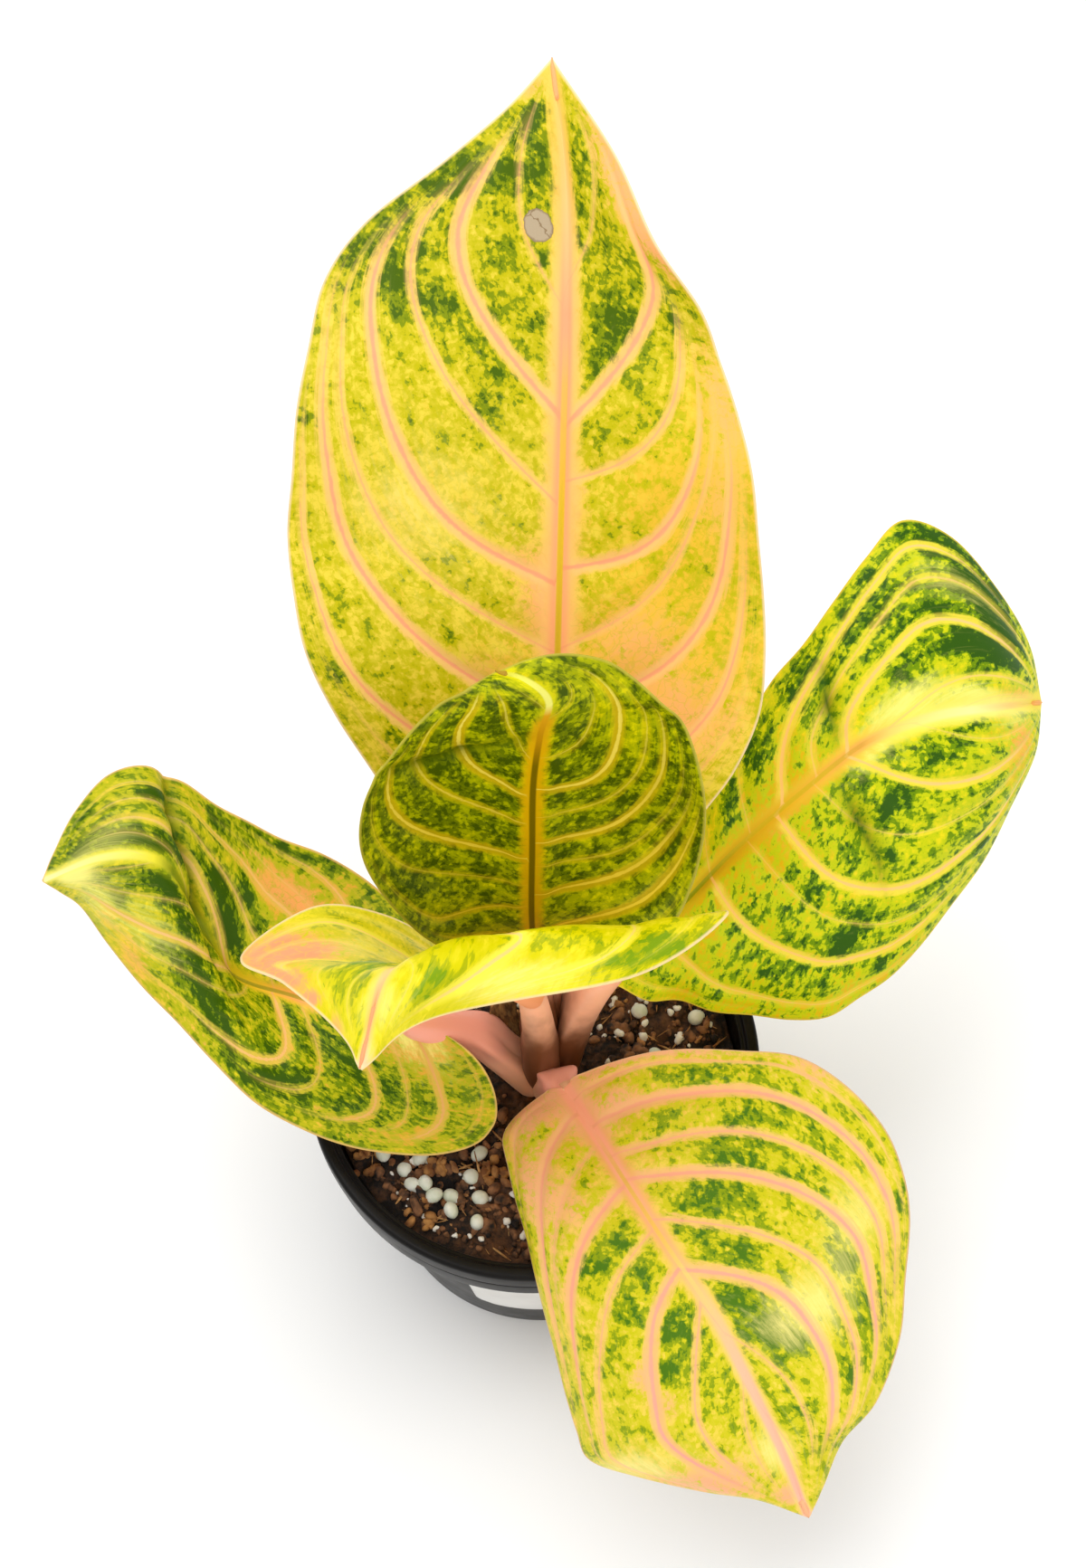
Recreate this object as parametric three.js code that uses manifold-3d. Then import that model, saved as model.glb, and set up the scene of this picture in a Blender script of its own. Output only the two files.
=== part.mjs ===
// Chinese evergreen with six painted leaves, growing in a round nursery pot.
// Millimetres, +Z up. The origin is the middle of the pot's flat base, and the viewer stands at -Y.
import * as THREE from 'three';
import { mergeVertices } from 'three/addons/utils/BufferGeometryUtils.js';
import Module from 'manifold-3d';

const wasm = await Module();
wasm.setup();

// Driving dimensions
const gap = 0.3;

const pot = {
  height: 80,
  rimRadius: 55,
  baseRadius: 41,
  neckRadius: 50,
  neckHeight: 66,
  wall: 1.1,
  floor: 1.8,
  sides: 48,
  drainHoles: 6,
  drainRadius: 3.5,
  drainCircle: 30,
};

const label = { width: 42, bottom: 22, top: 62, corner: 4, turn: 6, thickness: 0.3 };

const soil = { height: 72, rings: 9, sides: 40, holeRadius: 8 };

const cane = { x: 3, y: 0, radius: 6.5, foot: 38, top: 80 };

const blade = {
  thickness: 0.8,
  rows: 22,
  shares: [0.06, 0.22, 0.42, 0.63, 0.83, 1],
  roundBase: 0.1,
  ribHeight: 2.0,
};

// Each leaf: the midrib and both margins from base to tip, the last margin point being the tip,
// and how far each half arches above the straight line from midrib to margin.
// Left and right are as seen looking along the leaf from its base, with its upper face up.
const leaves = {
  leaf_back: {
    midrib: [[5, 16, 122], [8, 32, 146], [10, 48, 168], [12, 66, 188],
      [14, 85, 206], [16, 106, 222], [16, 130, 236], [16, 154, 249]],
    left: [[-14, 20, 125], [-31, 35, 161], [-42, 50, 185], [-44, 71, 199],
      [-42, 88, 218], [-36, 111, 229], [-8, 135, 241]],
    right: [[25, 17, 125], [40, 24, 152], [52, 37, 172], [55, 54, 190],
      [52, 70, 211], [47, 91, 221], [34, 109, 239]],
    archLeft: [0, 2, 3, 3, 2, 2, 1, 0],
    archRight: [0, 2, 3, 3, 2, 2, 1, 0],
  },
  leaf_young: {
    midrib: [[2, 9, 118], [2, 8, 140], [3, 12, 162], [4, 16, 182],
      [6, 18, 198], [8, 20, 207], [4, 22, 212], [-2, 25, 211]],
    left: [[-10, 5, 122], [-22, -1, 152], [-30, 2, 176], [-29, 6, 194],
      [-22, 12, 206], [-14, 18, 211], [-8, 20, 213]],
    right: [[14, 5, 122], [32, -2, 152], [38, 4, 175], [38, 8, 191],
      [34, 16, 204], [26, 23, 211], [12, 26, 215]],
    archLeft: [0, -4, -6, -6, -3, 0, 0, 0],
    archRight: [0, -4, -6, -6, -4, -2, 0, 0],
  },
  leaf_front: {
    midrib: [[1, -1, 118], [0, -7, 132], [-2, -13, 147], [-6, -19, 161],
      [-12, -23, 175], [-20, -26, 185], [-26, -29, 190], [-31, -46, 186]],
    left: [[9, -2, 120], [15, -6, 136], [18, -6, 152], [30, -9, 165],
      [42, -11, 173], [22, -28, 182], [-10, -34, 187]],
    right: [[-9, 3, 118], [-19, 9, 125], [-31, 11, 138], [-45, 8, 149],
      [-58, -10, 163], [-47, -23, 176], [-37, -36, 184]],
    archLeft: [0, 0, -2, -2, 2, 8, 5, 0],
    archRight: [0, -3, -6, -5, 0, 2, 2, 0],
  },
  leaf_right: {
    midrib: [[18, 6, 112], [34, 16, 121], [49, 27, 130], [65, 37, 138],
      [80, 46, 143], [96, 52, 143], [112, 58, 136], [128, 70, 118]],
    left: [[14, 18, 112], [34, 31, 128], [46, 44, 138], [60, 62, 146],
      [74, 80, 155], [92, 94, 162], [115, 86, 146]],
    right: [[20, 2, 108], [34, 1, 104], [52, -2, 100], [70, -2, 100],
      [86, 6, 104], [103, 20, 108], [121, 45, 112]],
    archLeft: [0, 0, 2, 2, 2, 2, 2, 0],
    archRight: [0, 3, 4, 5, 5, 4, 3, 0],
  },
  leaf_left: {
    midrib: [[-24, -2, 108], [-40, 3, 104], [-56, 10, 101], [-70, 14, 107],
      [-75, 21, 124], [-80, 26, 140], [-92, 26, 144], [-109, 28, 131]],
    left: [[-2, -12, 100], [-13, -26, 91], [-33, -28, 90], [-54, -21, 96],
      [-73, -10, 106], [-88, 7, 116], [-100, 20, 126]],
    right: [[-22, 8, 110], [-23, 18, 114], [-38, 31, 118], [-56, 39, 124],
      [-70, 44, 134], [-84, 48, 146], [-100, 38, 142]],
    archLeft: [0, 2, 3, 3, 2, 2, 1, 0],
    archRight: [0, 2, 3, 3, 2, 2, 1, 0],
  },
  leaf_low: {
    midrib: [[7, -14, 95], [13, -26, 98], [21, -42, 100], [29, -56, 98],
      [37, -68, 93], [44, -81, 85], [51, -94, 74], [57, -106, 60]],
    left: [[14, -8, 96], [36, -7, 96], [62, -8, 92], [80, -26, 86],
      [84, -46, 82], [80, -72, 76], [66, -94, 68]],
    right: [[-3, -16, 88], [-7, -30, 87], [-3, -46, 84], [0, -62, 79],
      [3, -78, 70], [9, -92, 60], [34, -98, 59]],
    archLeft: [0, 3, 4, 4, 4, 4, 3, 0],
    archRight: [0, 5, 8, 9, 9, 8, 4, 0],
  },
};

// A torn strip of dry brown leaf sheath that still stands on the cane
const drySheath = {
  midrib: [[-2, 3, 76], [-5, 5, 86], [-6, 8, 97], [-4, 9, 106]],
  left: [[0, 6, 77], [-3, 9, 87], [-3, 12, 98]],
  right: [[-4, 0, 78], [-9, 2, 88], [-9, 5, 98]],
  archLeft: [0, 0, 0, 0],
  archRight: [0, 0, 0, 0],
  rows: 7,
  shares: [0.5, 1],
  ribHeight: 0,
};

// Leaf stalks: the route from the cane to just under the blade, and the half-width at both ends
const stalks = [
  { route: [[3, 2, 72], [3, 5, 90], [3, 11, 107], [5, 16, 122]], wide: [5.2, 3.0] },
  { route: [[2, 1, 74], [2, 3, 90], [2, 7, 105], [2, 9, 118]], wide: [4.6, 2.8] },
  { route: [[2, -2, 72], [2, -4, 88], [2, -3, 104], [1, -1, 118]], wide: [4.8, 3.0] },
  { route: [[5, 1, 72], [8, 2, 86], [12, 4, 99], [18, 6, 112]], wide: [6.0, 3.4] },
  { route: [[1, -2, 72], [-6, -1, 85], [-14, 0, 97], [-24, -2, 108]], wide: [5.6, 3.6] },
  { route: [[4, -4, 73], [5, -7, 81], [6, -10, 88], [7, -14, 95]], wide: [5.2, 3.6] },
];

// Pale fertilizer prills and orange bark chips that lie on the soil, as x and y
const prills = [
  [-32, -24], [-30, -28], [-27, -28], [-25, -31], [-21, -31], [-21, -35], [-15, -38],
  [-14, -32], [-16, -27], [-14, -21], [-28, -21], [-37, -20], [27, 14], [41, 12], [30, 2],
];
const prillRadius = 2.1;
const barkChips = [[-28, -37], [-23, -25], [-11, -25], [-41, -21], [20, 20], [33, 20], [-8, 30], [14, -22]];
const perliteCount = 34;

// Small helpers
const curveThrough = (points) =>
  new THREE.CatmullRomCurve3(points.map((p) => new THREE.Vector3(...p)), false, 'catmullrom', 0.5);

function mixThrough(values, s) {
  const x = s * (values.length - 1);
  const i = Math.min(Math.floor(x), values.length - 2);
  return THREE.MathUtils.lerp(values[i], values[i + 1], x - i);
}

function seededRandom(seed) {
  let state = seed;
  return () => {
    state = (state * 16807) % 2147483647;
    return state / 2147483647;
  };
}

function volumeOf(positions, index) {
  const [a, b, c] = [new THREE.Vector3(), new THREE.Vector3(), new THREE.Vector3()];
  let volume = 0;
  for (let i = 0; i < index.length; i += 3) {
    a.fromArray(positions, index[i] * 3);
    b.fromArray(positions, index[i + 1] * 3);
    c.fromArray(positions, index[i + 2] * 3);
    volume += a.dot(b.cross(c)) / 6;
  }
  return volume;
}

// Closed solid of a geometry whose seams and poles meet
function solidOf(geometry) {
  geometry.deleteAttribute('normal');
  geometry.deleteAttribute('uv');
  const merged = mergeVertices(geometry, 1e-4);
  const positions = merged.attributes.position.array;
  const index = [];
  for (let i = 0; i < merged.index.count; i += 3) {
    const [a, b, c] = [0, 1, 2].map((k) => merged.index.getX(i + k));
    if (a !== b && b !== c && c !== a) index.push(a, b, c);
  }
  if (volumeOf(positions, index) < 0) index.reverse();
  return new wasm.Manifold(new wasm.Mesh({
    numProp: 3,
    vertProperties: new Float32Array(positions),
    triVerts: new Uint32Array(index),
  }));
}

function largestOf(solid) {
  const bodies = solid.decompose();
  return bodies.reduce((best, body) => (body.volume() > best.volume() ? body : best));
}

function meshOf(name, solid, material) {
  const { vertProperties, triVerts } = solid.getMesh();
  const geometry = new THREE.BufferGeometry();
  geometry.setAttribute('position', new THREE.BufferAttribute(new Float32Array(vertProperties), 3));
  geometry.setIndex(new THREE.BufferAttribute(new Uint32Array(triVerts), 1));
  geometry.computeVertexNormals();
  const mesh = new THREE.Mesh(geometry, material);
  mesh.name = name;
  return mesh;
}

const unite = (solids) => wasm.Manifold.union(solids);

// Materials
const finish = (color, roughness) => new THREE.MeshStandardMaterial({ color, roughness, metalness: 0 });
const potPlastic = finish('#2e2926', 0.42);
const labelPaper = finish('#e8e6e0', 0.6);
const pottingMix = finish('#3a2d26', 0.95);
const pinkStalk = finish('#d98a72', 0.45);
const dryPaper = finish('#8a6238', 0.9);
const bladeGreens = {
  leaf_back: finish('#e6cf55', 0.4),
  leaf_young: finish('#6f6a10', 0.35),
  leaf_front: finish('#d9d42f', 0.4),
  leaf_right: finish('#a9ad1c', 0.38),
  leaf_left: finish('#8f8f1c', 0.38),
  leaf_low: finish('#c9bd52', 0.4),
};

// Pot: a turned wall with a rolled double rim, and drain holes round the edge of the floor
function makePot() {
  const { height, rimRadius, baseRadius, neckRadius, neckHeight, wall, floor } = pot;
  const profile = [
    [0, 0], [baseRadius - 1.2, 0], [baseRadius, 1.2], [neckRadius, neckHeight],
    [rimRadius - 1.8, neckHeight + 0.5], [rimRadius - 0.8, neckHeight + 1.5],
    [rimRadius - 0.6, height - 7.6], [rimRadius - 1.3, height - 6.8],
    [rimRadius - 0.2, height - 5.8], [rimRadius, height - 4.6], [rimRadius, height - 1.6],
    [rimRadius - 0.7, height - 0.4], [rimRadius - 1.9, height], [rimRadius - 3.2, height - 0.4],
    [rimRadius - 3.9, height - 1.6], [neckRadius + 0.6, height - 8],
    [neckRadius - wall, neckHeight - 1], [baseRadius - wall, floor + 1.2],
    [baseRadius - wall - 1.2, floor], [0, floor],
  ].map(([r, z]) => new THREE.Vector2(r, z));
  const turned = new THREE.LatheGeometry(profile, pot.sides).rotateX(Math.PI / 2);
  let solid = solidOf(turned);
  for (let i = 0; i < pot.drainHoles; i += 1) {
    const angle = (2 * Math.PI * (i + 0.5)) / pot.drainHoles;
    const hole = new THREE.CylinderGeometry(pot.drainRadius, pot.drainRadius, 6, 12).rotateX(Math.PI / 2);
    hole.translate(pot.drainCircle * Math.cos(angle), pot.drainCircle * Math.sin(angle), 1);
    solid = solid.subtract(solidOf(hole));
  }
  return solid;
}

// Label: a blank rounded rectangle bent round the pot's wall
function makeLabel() {
  const { width, bottom, top, corner, turn, thickness } = label;
  const across = 10;
  const up = 6;
  const points = [];
  for (const layer of [0, 1]) {
    for (let j = 0; j <= up; j += 1) {
      const v = j / up;
      const z = THREE.MathUtils.lerp(bottom, top, v);
      const edge = Math.max(0, corner - Math.min(z - bottom, top - z));
      const inset = corner - Math.sqrt(Math.max(0, corner ** 2 - edge ** 2));
      const wallRadius = pot.baseRadius + ((pot.neckRadius - pot.baseRadius) * (z - 1.2)) / (pot.neckHeight - 1.2);
      const radius = wallRadius + gap + layer * thickness;
      for (let i = 0; i <= across; i += 1) {
        const x = (i / across - 0.5) * (width - 2 * inset);
        const angle = x / pot.baseRadius + THREE.MathUtils.degToRad(turn);
        points.push(radius * Math.sin(angle), -radius * Math.cos(angle), z);
      }
    }
  }
  return gridSlab(points, across + 1, up + 1);
}

// Closed slab between two equal grids of points, the inner grid first
function gridSlab(points, columns, rows) {
  const index = [];
  const layerSize = columns * rows;
  const quad = (a, b, c, d) => index.push(a, b, c, a, c, d);
  for (let j = 0; j < rows - 1; j += 1) {
    for (let i = 0; i < columns - 1; i += 1) {
      const a = j * columns + i;
      quad(a + columns, a + columns + 1, a + 1, a);
      quad(a + layerSize, a + 1 + layerSize, a + columns + 1 + layerSize, a + columns + layerSize);
    }
  }
  const border = [];
  for (let i = 0; i < columns - 1; i += 1) border.push(i);
  for (let j = 0; j < rows - 1; j += 1) border.push(j * columns + columns - 1);
  for (let i = columns - 1; i > 0; i -= 1) border.push((rows - 1) * columns + i);
  for (let j = rows - 1; j > 0; j -= 1) border.push(j * columns);
  border.forEach((a, k) => {
    const b = border[(k + 1) % border.length];
    quad(a, b, b + layerSize, a + layerSize);
  });
  const geometry = new THREE.BufferGeometry();
  geometry.setAttribute('position', new THREE.Float32BufferAttribute(points, 3));
  geometry.setIndex(index);
  return solidOf(geometry);
}

// Leaf blade: point of its middle surface, s from base to tip and t from left margin to right
function bladeSurface(leaf) {
  const midrib = curveThrough(leaf.midrib);
  const tip = leaf.midrib.at(-1);
  const margins = { left: curveThrough([...leaf.left, tip]), right: curveThrough([...leaf.right, tip]) };
  return (s, t) => {
    const side = t < 0 ? 'left' : 'right';
    const base = Math.max(0, 1 - s / blade.roundBase);
    const open = Math.sqrt(1 - base ** 2);
    const middle = midrib.getPoint(s);
    const across = margins[side].getPoint(s).sub(middle).multiplyScalar(open);
    const up = across.clone().cross(midrib.getTangent(s)).normalize();
    if (side === 'left') up.negate();
    const u = Math.abs(t);
    const arch = mixThrough(side === 'left' ? leaf.archLeft : leaf.archRight, s) * open;
    return middle.addScaledVector(across, u).addScaledVector(up, 4 * arch * u * (1 - u));
  };
}

function upwardAt(surface, s, t) {
  const step = 0.01;
  const s0 = Math.min(Math.max(s, 0.015), 0.985);
  const t0 = Math.min(Math.max(t, -0.98), 0.98);
  const along = surface(s0 + step, t0).sub(surface(s0 - step, t0));
  const across = surface(s0, t0 + step).sub(surface(s0, t0 - step));
  return across.cross(along).normalize();
}

// Closed blade: both faces split alike, a raised rib under the midrib, and one point at each end.
// grow widens it on every side, for cutting clearance out of a neighbour.
function makeBlade(leaf, grow = 0) {
  const { rows: rowCount, shares, ribHeight } = { ...blade, ...leaf };
  const surface = bladeSurface(leaf);
  const columns = [...shares.toReversed().map((t) => -t), 0, ...shares];
  const width = columns.length;
  const points = [];
  const addPair = (s, t) => {
    const up = upwardAt(surface, s, t);
    const middle = surface(s, t);
    if (grow > 0) {
      const inward = surface(Math.max(s, 0.01), t * 0.9).sub(surface(Math.max(s, 0.01), t));
      if (Math.abs(t) === 1) middle.addScaledVector(inward.normalize(), -grow);
      const back = surface(0, 0).sub(surface(0.02, 0)).normalize();
      middle.addScaledVector(back, grow * Math.max(0, 1 - s / blade.roundBase));
    }
    const half = blade.thickness / 2 + grow;
    const ribHere = t === 0 ? ribHeight * (1 - 0.8 * s) : 0;
    points.push(...middle.clone().addScaledVector(up, half));
    points.push(...middle.clone().addScaledVector(up, -half - ribHere));
  };
  const rows = [];
  for (let k = 1; k < rowCount; k += 1) {
    const even = k / rowCount;
    rows.push(0.55 * even + 0.45 * (0.5 - 0.5 * Math.cos(Math.PI * even)));
  }
  addPair(0, 0);
  rows.forEach((s) => columns.forEach((t) => addPair(s, t)));
  addPair(1, 0);

  // Vertex 2k is on the upper face and 2k + 1 under it
  const index = [];
  const face = (a, b, c) => {
    index.push(2 * a, 2 * b, 2 * c);
    index.push(2 * a + 1, 2 * c + 1, 2 * b + 1);
  };
  const side = (a, b) => index.push(2 * a, 2 * b, 2 * b + 1, 2 * a, 2 * b + 1, 2 * a + 1);
  const at = (row, column) => 1 + row * width + column;
  const last = 1 + rows.length * width;
  for (let i = 0; i < width - 1; i += 1) {
    face(0, at(0, i + 1), at(0, i));
    for (let j = 0; j < rows.length - 1; j += 1) {
      face(at(j, i), at(j, i + 1), at(j + 1, i + 1));
      face(at(j, i), at(j + 1, i + 1), at(j + 1, i));
    }
    face(at(rows.length - 1, i), at(rows.length - 1, i + 1), last);
  }
  side(0, at(0, 0));
  side(at(0, width - 1), 0);
  for (let j = 0; j < rows.length - 1; j += 1) {
    side(at(j, 0), at(j + 1, 0));
    side(at(j + 1, width - 1), at(j, width - 1));
  }
  side(at(rows.length - 1, 0), last);
  side(last, at(rows.length - 1, width - 1));
  const geometry = new THREE.BufferGeometry();
  geometry.setAttribute('position', new THREE.Float32BufferAttribute(points, 3));
  geometry.setIndex(index);
  return solidOf(geometry);
}

// Leaf stalk: a closed tapering tube with rounded ends
function makeStalk({ route, wide }) {
  const curve = curveThrough(route);
  const steps = 8;
  const around = 10;
  const frames = curve.computeFrenetFrames(steps, false);
  const points = [];
  for (let k = 0; k <= steps; k += 1) {
    const s = k / steps;
    const cap = Math.min(1, Math.sqrt(s * 12 + 0.15), Math.sqrt((1 - s) * 12 + 0.15));
    const radius = THREE.MathUtils.lerp(wide[0], wide[1], s ** 1.5) * cap;
    const middle = curve.getPointAt(s);
    for (let i = 0; i < around; i += 1) {
      const angle = (2 * Math.PI * i) / around;
      points.push(...middle.clone()
        .addScaledVector(frames.normals[k], radius * Math.cos(angle))
        .addScaledVector(frames.binormals[k], radius * Math.sin(angle)));
    }
  }
  points.push(...curve.getPoint(0), ...curve.getPoint(1));
  const first = (steps + 1) * around;
  const index = [];
  for (let i = 0; i < around; i += 1) {
    const j = (i + 1) % around;
    index.push(first, j, i, first + 1, steps * around + i, steps * around + j);
    for (let k = 0; k < steps; k += 1) {
      const a = k * around;
      const b = a + around;
      index.push(a + i, a + j, b + j, a + i, b + j, b + i);
    }
  }
  const geometry = new THREE.BufferGeometry();
  geometry.setAttribute('position', new THREE.Float32BufferAttribute(points, 3));
  geometry.setIndex(index);
  return solidOf(geometry);
}

// Cane: the short upright stem that all the stalks grow from, with its cut end in the soil
function makeCane() {
  const { radius, foot, top } = cane;
  const profile = [
    [0, foot], [radius - 1, foot], [radius - 0.3, foot + 1], [radius - 0.3, 66], [radius + 0.3, 69],
    [radius, 73], [radius - 0.5, top - 3], [radius - 2, top - 1], [0, top],
  ].map(([r, z]) => new THREE.Vector2(r, z));
  const turned = new THREE.LatheGeometry(profile, 20).rotateX(Math.PI / 2);
  turned.translate(cane.x, cane.y, 0);
  return solidOf(turned);
}

// Soil: fills the pot to a lumpy top, with a plain hole for the cane
const soilLump = (x, y) =>
  0.8 * Math.sin(0.31 * x + 1.3) * Math.sin(0.27 * y + 0.4)
  + 0.6 * Math.sin(0.55 * x - 0.35 * y)
  + 0.4 * Math.sin(0.2 * x + 0.62 * y + 2);

const soilTop = (x, y) => {
  const rim = Math.hypot(x, y) / pot.neckRadius;
  const crown = Math.max(0, 1 - Math.hypot(x - cane.x, y - cane.y) / 22);
  return soil.height + soilLump(x, y) * (1 - 0.6 * crown) - 0.6 * rim ** 4;
};

function makeSoil() {
  const side = pot.wall + gap;
  const topRadius = pot.neckRadius - 0.4;
  const profile = [[0, pot.floor + gap], [pot.baseRadius - side - 1.4, pot.floor + gap],
    [pot.baseRadius - side, pot.floor + gap + 1.4], [pot.neckRadius - side, pot.neckHeight - 1]];
  for (let k = 0; k <= soil.rings; k += 1) {
    profile.push([topRadius * (1 - k / soil.rings), soil.height]);
  }
  const body = new THREE.LatheGeometry(profile.map(([r, z]) => new THREE.Vector2(r, z)), soil.sides);
  body.rotateX(Math.PI / 2);
  const place = body.attributes.position;
  for (let i = 0; i < place.count; i += 1) {
    if (place.getZ(i) > soil.height - 1) place.setZ(i, soilTop(place.getX(i), place.getY(i)));
  }

  const bits = [];
  const rest = (geometry, x, y, sink) => {
    geometry.translate(x, y, soilTop(x, y) - sink);
    bits.push(solidOf(geometry));
  };
  prills.forEach(([x, y]) => rest(new THREE.IcosahedronGeometry(prillRadius, 0), x, y, -0.9));
  const random = seededRandom(7);
  barkChips.forEach(([x, y]) => {
    const chip = new THREE.BoxGeometry(4 + 4 * random(), 2.5 + 1.5 * random(), 2);
    chip.rotateX(0.5 * random() - 0.25).rotateZ(6.28 * random());
    rest(chip, x, y, -0.2);
  });
  for (let i = 0; i < perliteCount; i += 1) {
    const angle = 6.28 * random();
    const radius = 16 + 30 * Math.sqrt(random());
    const grain = new THREE.IcosahedronGeometry(0.9 + 0.9 * random(), 0).scale(1, 0.8, 0.7);
    grain.rotateZ(6.28 * random());
    rest(grain, radius * Math.cos(angle), radius * Math.sin(angle), -0.1);
  }

  const hole = new THREE.CylinderGeometry(soil.holeRadius, soil.holeRadius, 60, 24).rotateX(Math.PI / 2);
  hole.translate(cane.x, cane.y, cane.foot - gap + 30);
  return largestOf(unite([solidOf(body), ...bits]).subtract(solidOf(hole)));
}

// Assembly: every blade and the dry strip keep a narrow gap to the stalks they stand on
const plant = new THREE.Group();
plant.add(meshOf('pot', makePot(), potPlastic));
plant.add(meshOf('label', makeLabel(), labelPaper));
plant.add(meshOf('soil', makeSoil(), pottingMix));

let stem = unite([makeCane(), ...stalks.map(makeStalk)]);
for (const leaf of Object.values(leaves)) {
  stem = stem.subtract(makeBlade(leaf, 1.5 * gap));
}
stem = stem.subtract(makeBlade(drySheath, 1.5 * gap));
plant.add(meshOf('stem', largestOf(stem), pinkStalk));
plant.add(meshOf('dry_sheath', makeBlade(drySheath), dryPaper));

for (const [name, leaf] of Object.entries(leaves)) {
  plant.add(meshOf(name, makeBlade(leaf), bladeGreens[name]));
}

export default plant;
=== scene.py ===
# Chinese evergreen in a nursery pot: painted leaf blades, pink stalks, potting mix and pot.
# The scene is in metres. The dictionaries are in millimetres unless they say otherwise.
import math
import random

import bmesh
import bpy
import numpy as np
from mathutils import Matrix, Vector, noise


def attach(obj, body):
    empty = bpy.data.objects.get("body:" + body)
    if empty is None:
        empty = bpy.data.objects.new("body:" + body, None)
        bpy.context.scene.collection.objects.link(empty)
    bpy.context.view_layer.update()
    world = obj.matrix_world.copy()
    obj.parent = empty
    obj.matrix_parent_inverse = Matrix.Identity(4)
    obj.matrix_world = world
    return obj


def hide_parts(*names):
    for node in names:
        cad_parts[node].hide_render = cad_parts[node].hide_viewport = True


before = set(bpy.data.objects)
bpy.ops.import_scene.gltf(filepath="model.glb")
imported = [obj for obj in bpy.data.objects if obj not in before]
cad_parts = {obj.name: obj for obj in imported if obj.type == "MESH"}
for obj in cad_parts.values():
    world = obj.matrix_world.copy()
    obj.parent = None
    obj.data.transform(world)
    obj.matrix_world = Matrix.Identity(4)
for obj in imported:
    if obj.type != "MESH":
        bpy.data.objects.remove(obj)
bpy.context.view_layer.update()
mm = 0.001
# settings of a range that is mapped in a smooth step, upwards or from full to none
soft = {"interpolation_type": "SMOOTHSTEP"}
fading = {**soft, "To Min": 1, "To Max": 0}
print("frame loaded")


def linearColour(hexText):
    parts = [int(hexText[i:i + 2], 16) / 255 for i in (1, 3, 5)]
    linear = [c / 12.92 if c <= 0.04045 else ((c + 0.055) / 1.055) ** 2.4 for c in parts]
    return (*linear, 1.0)


def addNode(tree, kind, settings=None, links=None, take=0):
    # gives the output that take names, so that calls can feed each other; a colour is hex text in either list
    node = tree.nodes.new("ShaderNode" + kind)
    for key, value in (settings or {}).items():
        if key == "stops":
            # stops of a colour ramp: place, colour and strength
            for place, hexText, strength in value[1:-1]:
                node.color_ramp.elements.new(place)
            for element, (place, hexText, strength) in zip(node.color_ramp.elements, value):
                element.position = place
                element.color = (*linearColour(hexText)[:3], strength)
        elif isinstance(key, str) and hasattr(node, key):
            setattr(node, key, value)
        else:
            node.inputs[key].default_value = linearColour(value) if isinstance(value, str) else value
    for key, source in (links or {}).items():
        if isinstance(source, str):
            node.inputs[key].default_value = linearColour(source)
        else:
            tree.links.new(source, node.inputs[key])
    return node.outputs[take] if node.outputs else node


def startMaterial(name):
    material = bpy.data.materials.new(name)
    material.use_nodes = True
    material.node_tree.nodes.clear()
    return material, material.node_tree


def finishMaterial(tree, settings, links):
    surface = addNode(tree, "BsdfPrincipled", settings, links)
    addNode(tree, "OutputMaterial", links={"Surface": surface})


def mottledMaterial(name, colours, scale, rough, span=(0.35, 0.65), detail=4, bump=0.4, depth=0.4, stretch=(1, 1, 1)):
    # two colours mixed by one noise, whose forms are 1000 / scale mm wide, with a bump of the given depth in mm
    material, tree = startMaterial(name)
    where = addNode(tree, "TexCoord", take="Object")
    where = addNode(tree, "Mapping", {"Scale": stretch}, {"Vector": where})
    cloud = addNode(tree, "TexNoise", {"Scale": scale, "Detail": detail}, {"Vector": where})
    share = addNode(tree, "MapRange", {"From Min": span[0], "From Max": span[1]}, {"Value": cloud})
    colour = addNode(tree, "MixRGB", {"Color1": colours[0], "Color2": colours[1]}, {"Fac": share})
    links = {"Base Color": colour}
    if bump:
        links["Normal"] = addNode(tree, "Bump", {"Strength": bump, "Distance": depth * mm}, {"Height": cloud})
    finishMaterial(tree, {"Roughness": rough}, links)
    return material


def meshOf(bm, name):
    mesh = bpy.data.meshes.new(name)
    bm.to_mesh(mesh)
    bm.free()
    return mesh


def addObject(name, data):
    obj = bpy.data.objects.new(name, data)
    bpy.context.scene.collection.objects.link(obj)
    return obj


def addPiece(name, bm, materials, replaces=()):
    mesh = meshOf(bm, name)
    for material in materials:
        mesh.materials.append(material)
    mesh.shade_smooth()
    piece = addObject(name, mesh)
    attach(piece, "root")
    if replaces:
        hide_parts(*replaces)
    return piece


def numbered(bm, rows, columns):
    # hands out the vertices of a grid one by one, each with its row and column
    for vert in bm.verts:
        yield vert, round((vert.co.y + 1) / 2 * rows), round((vert.co.x + 1) / 2 * columns)


def spun(line, sides):
    # the line of radius and height turned round the upright axis
    bm = bmesh.new()
    verts = [bm.verts.new((radius * mm, 0, height * mm)) for radius, height in line]
    edges = [bm.edges.new(pair) for pair in zip(verts, verts[1:])]
    bmesh.ops.spin(bm, geom=verts + edges, cent=(0, 0, 0), axis=(0, 0, 1), angle=2 * math.pi, steps=sides,
                   use_merge=True)
    bmesh.ops.remove_doubles(bm, verts=bm.verts[:], dist=1e-6)
    return bm


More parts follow.
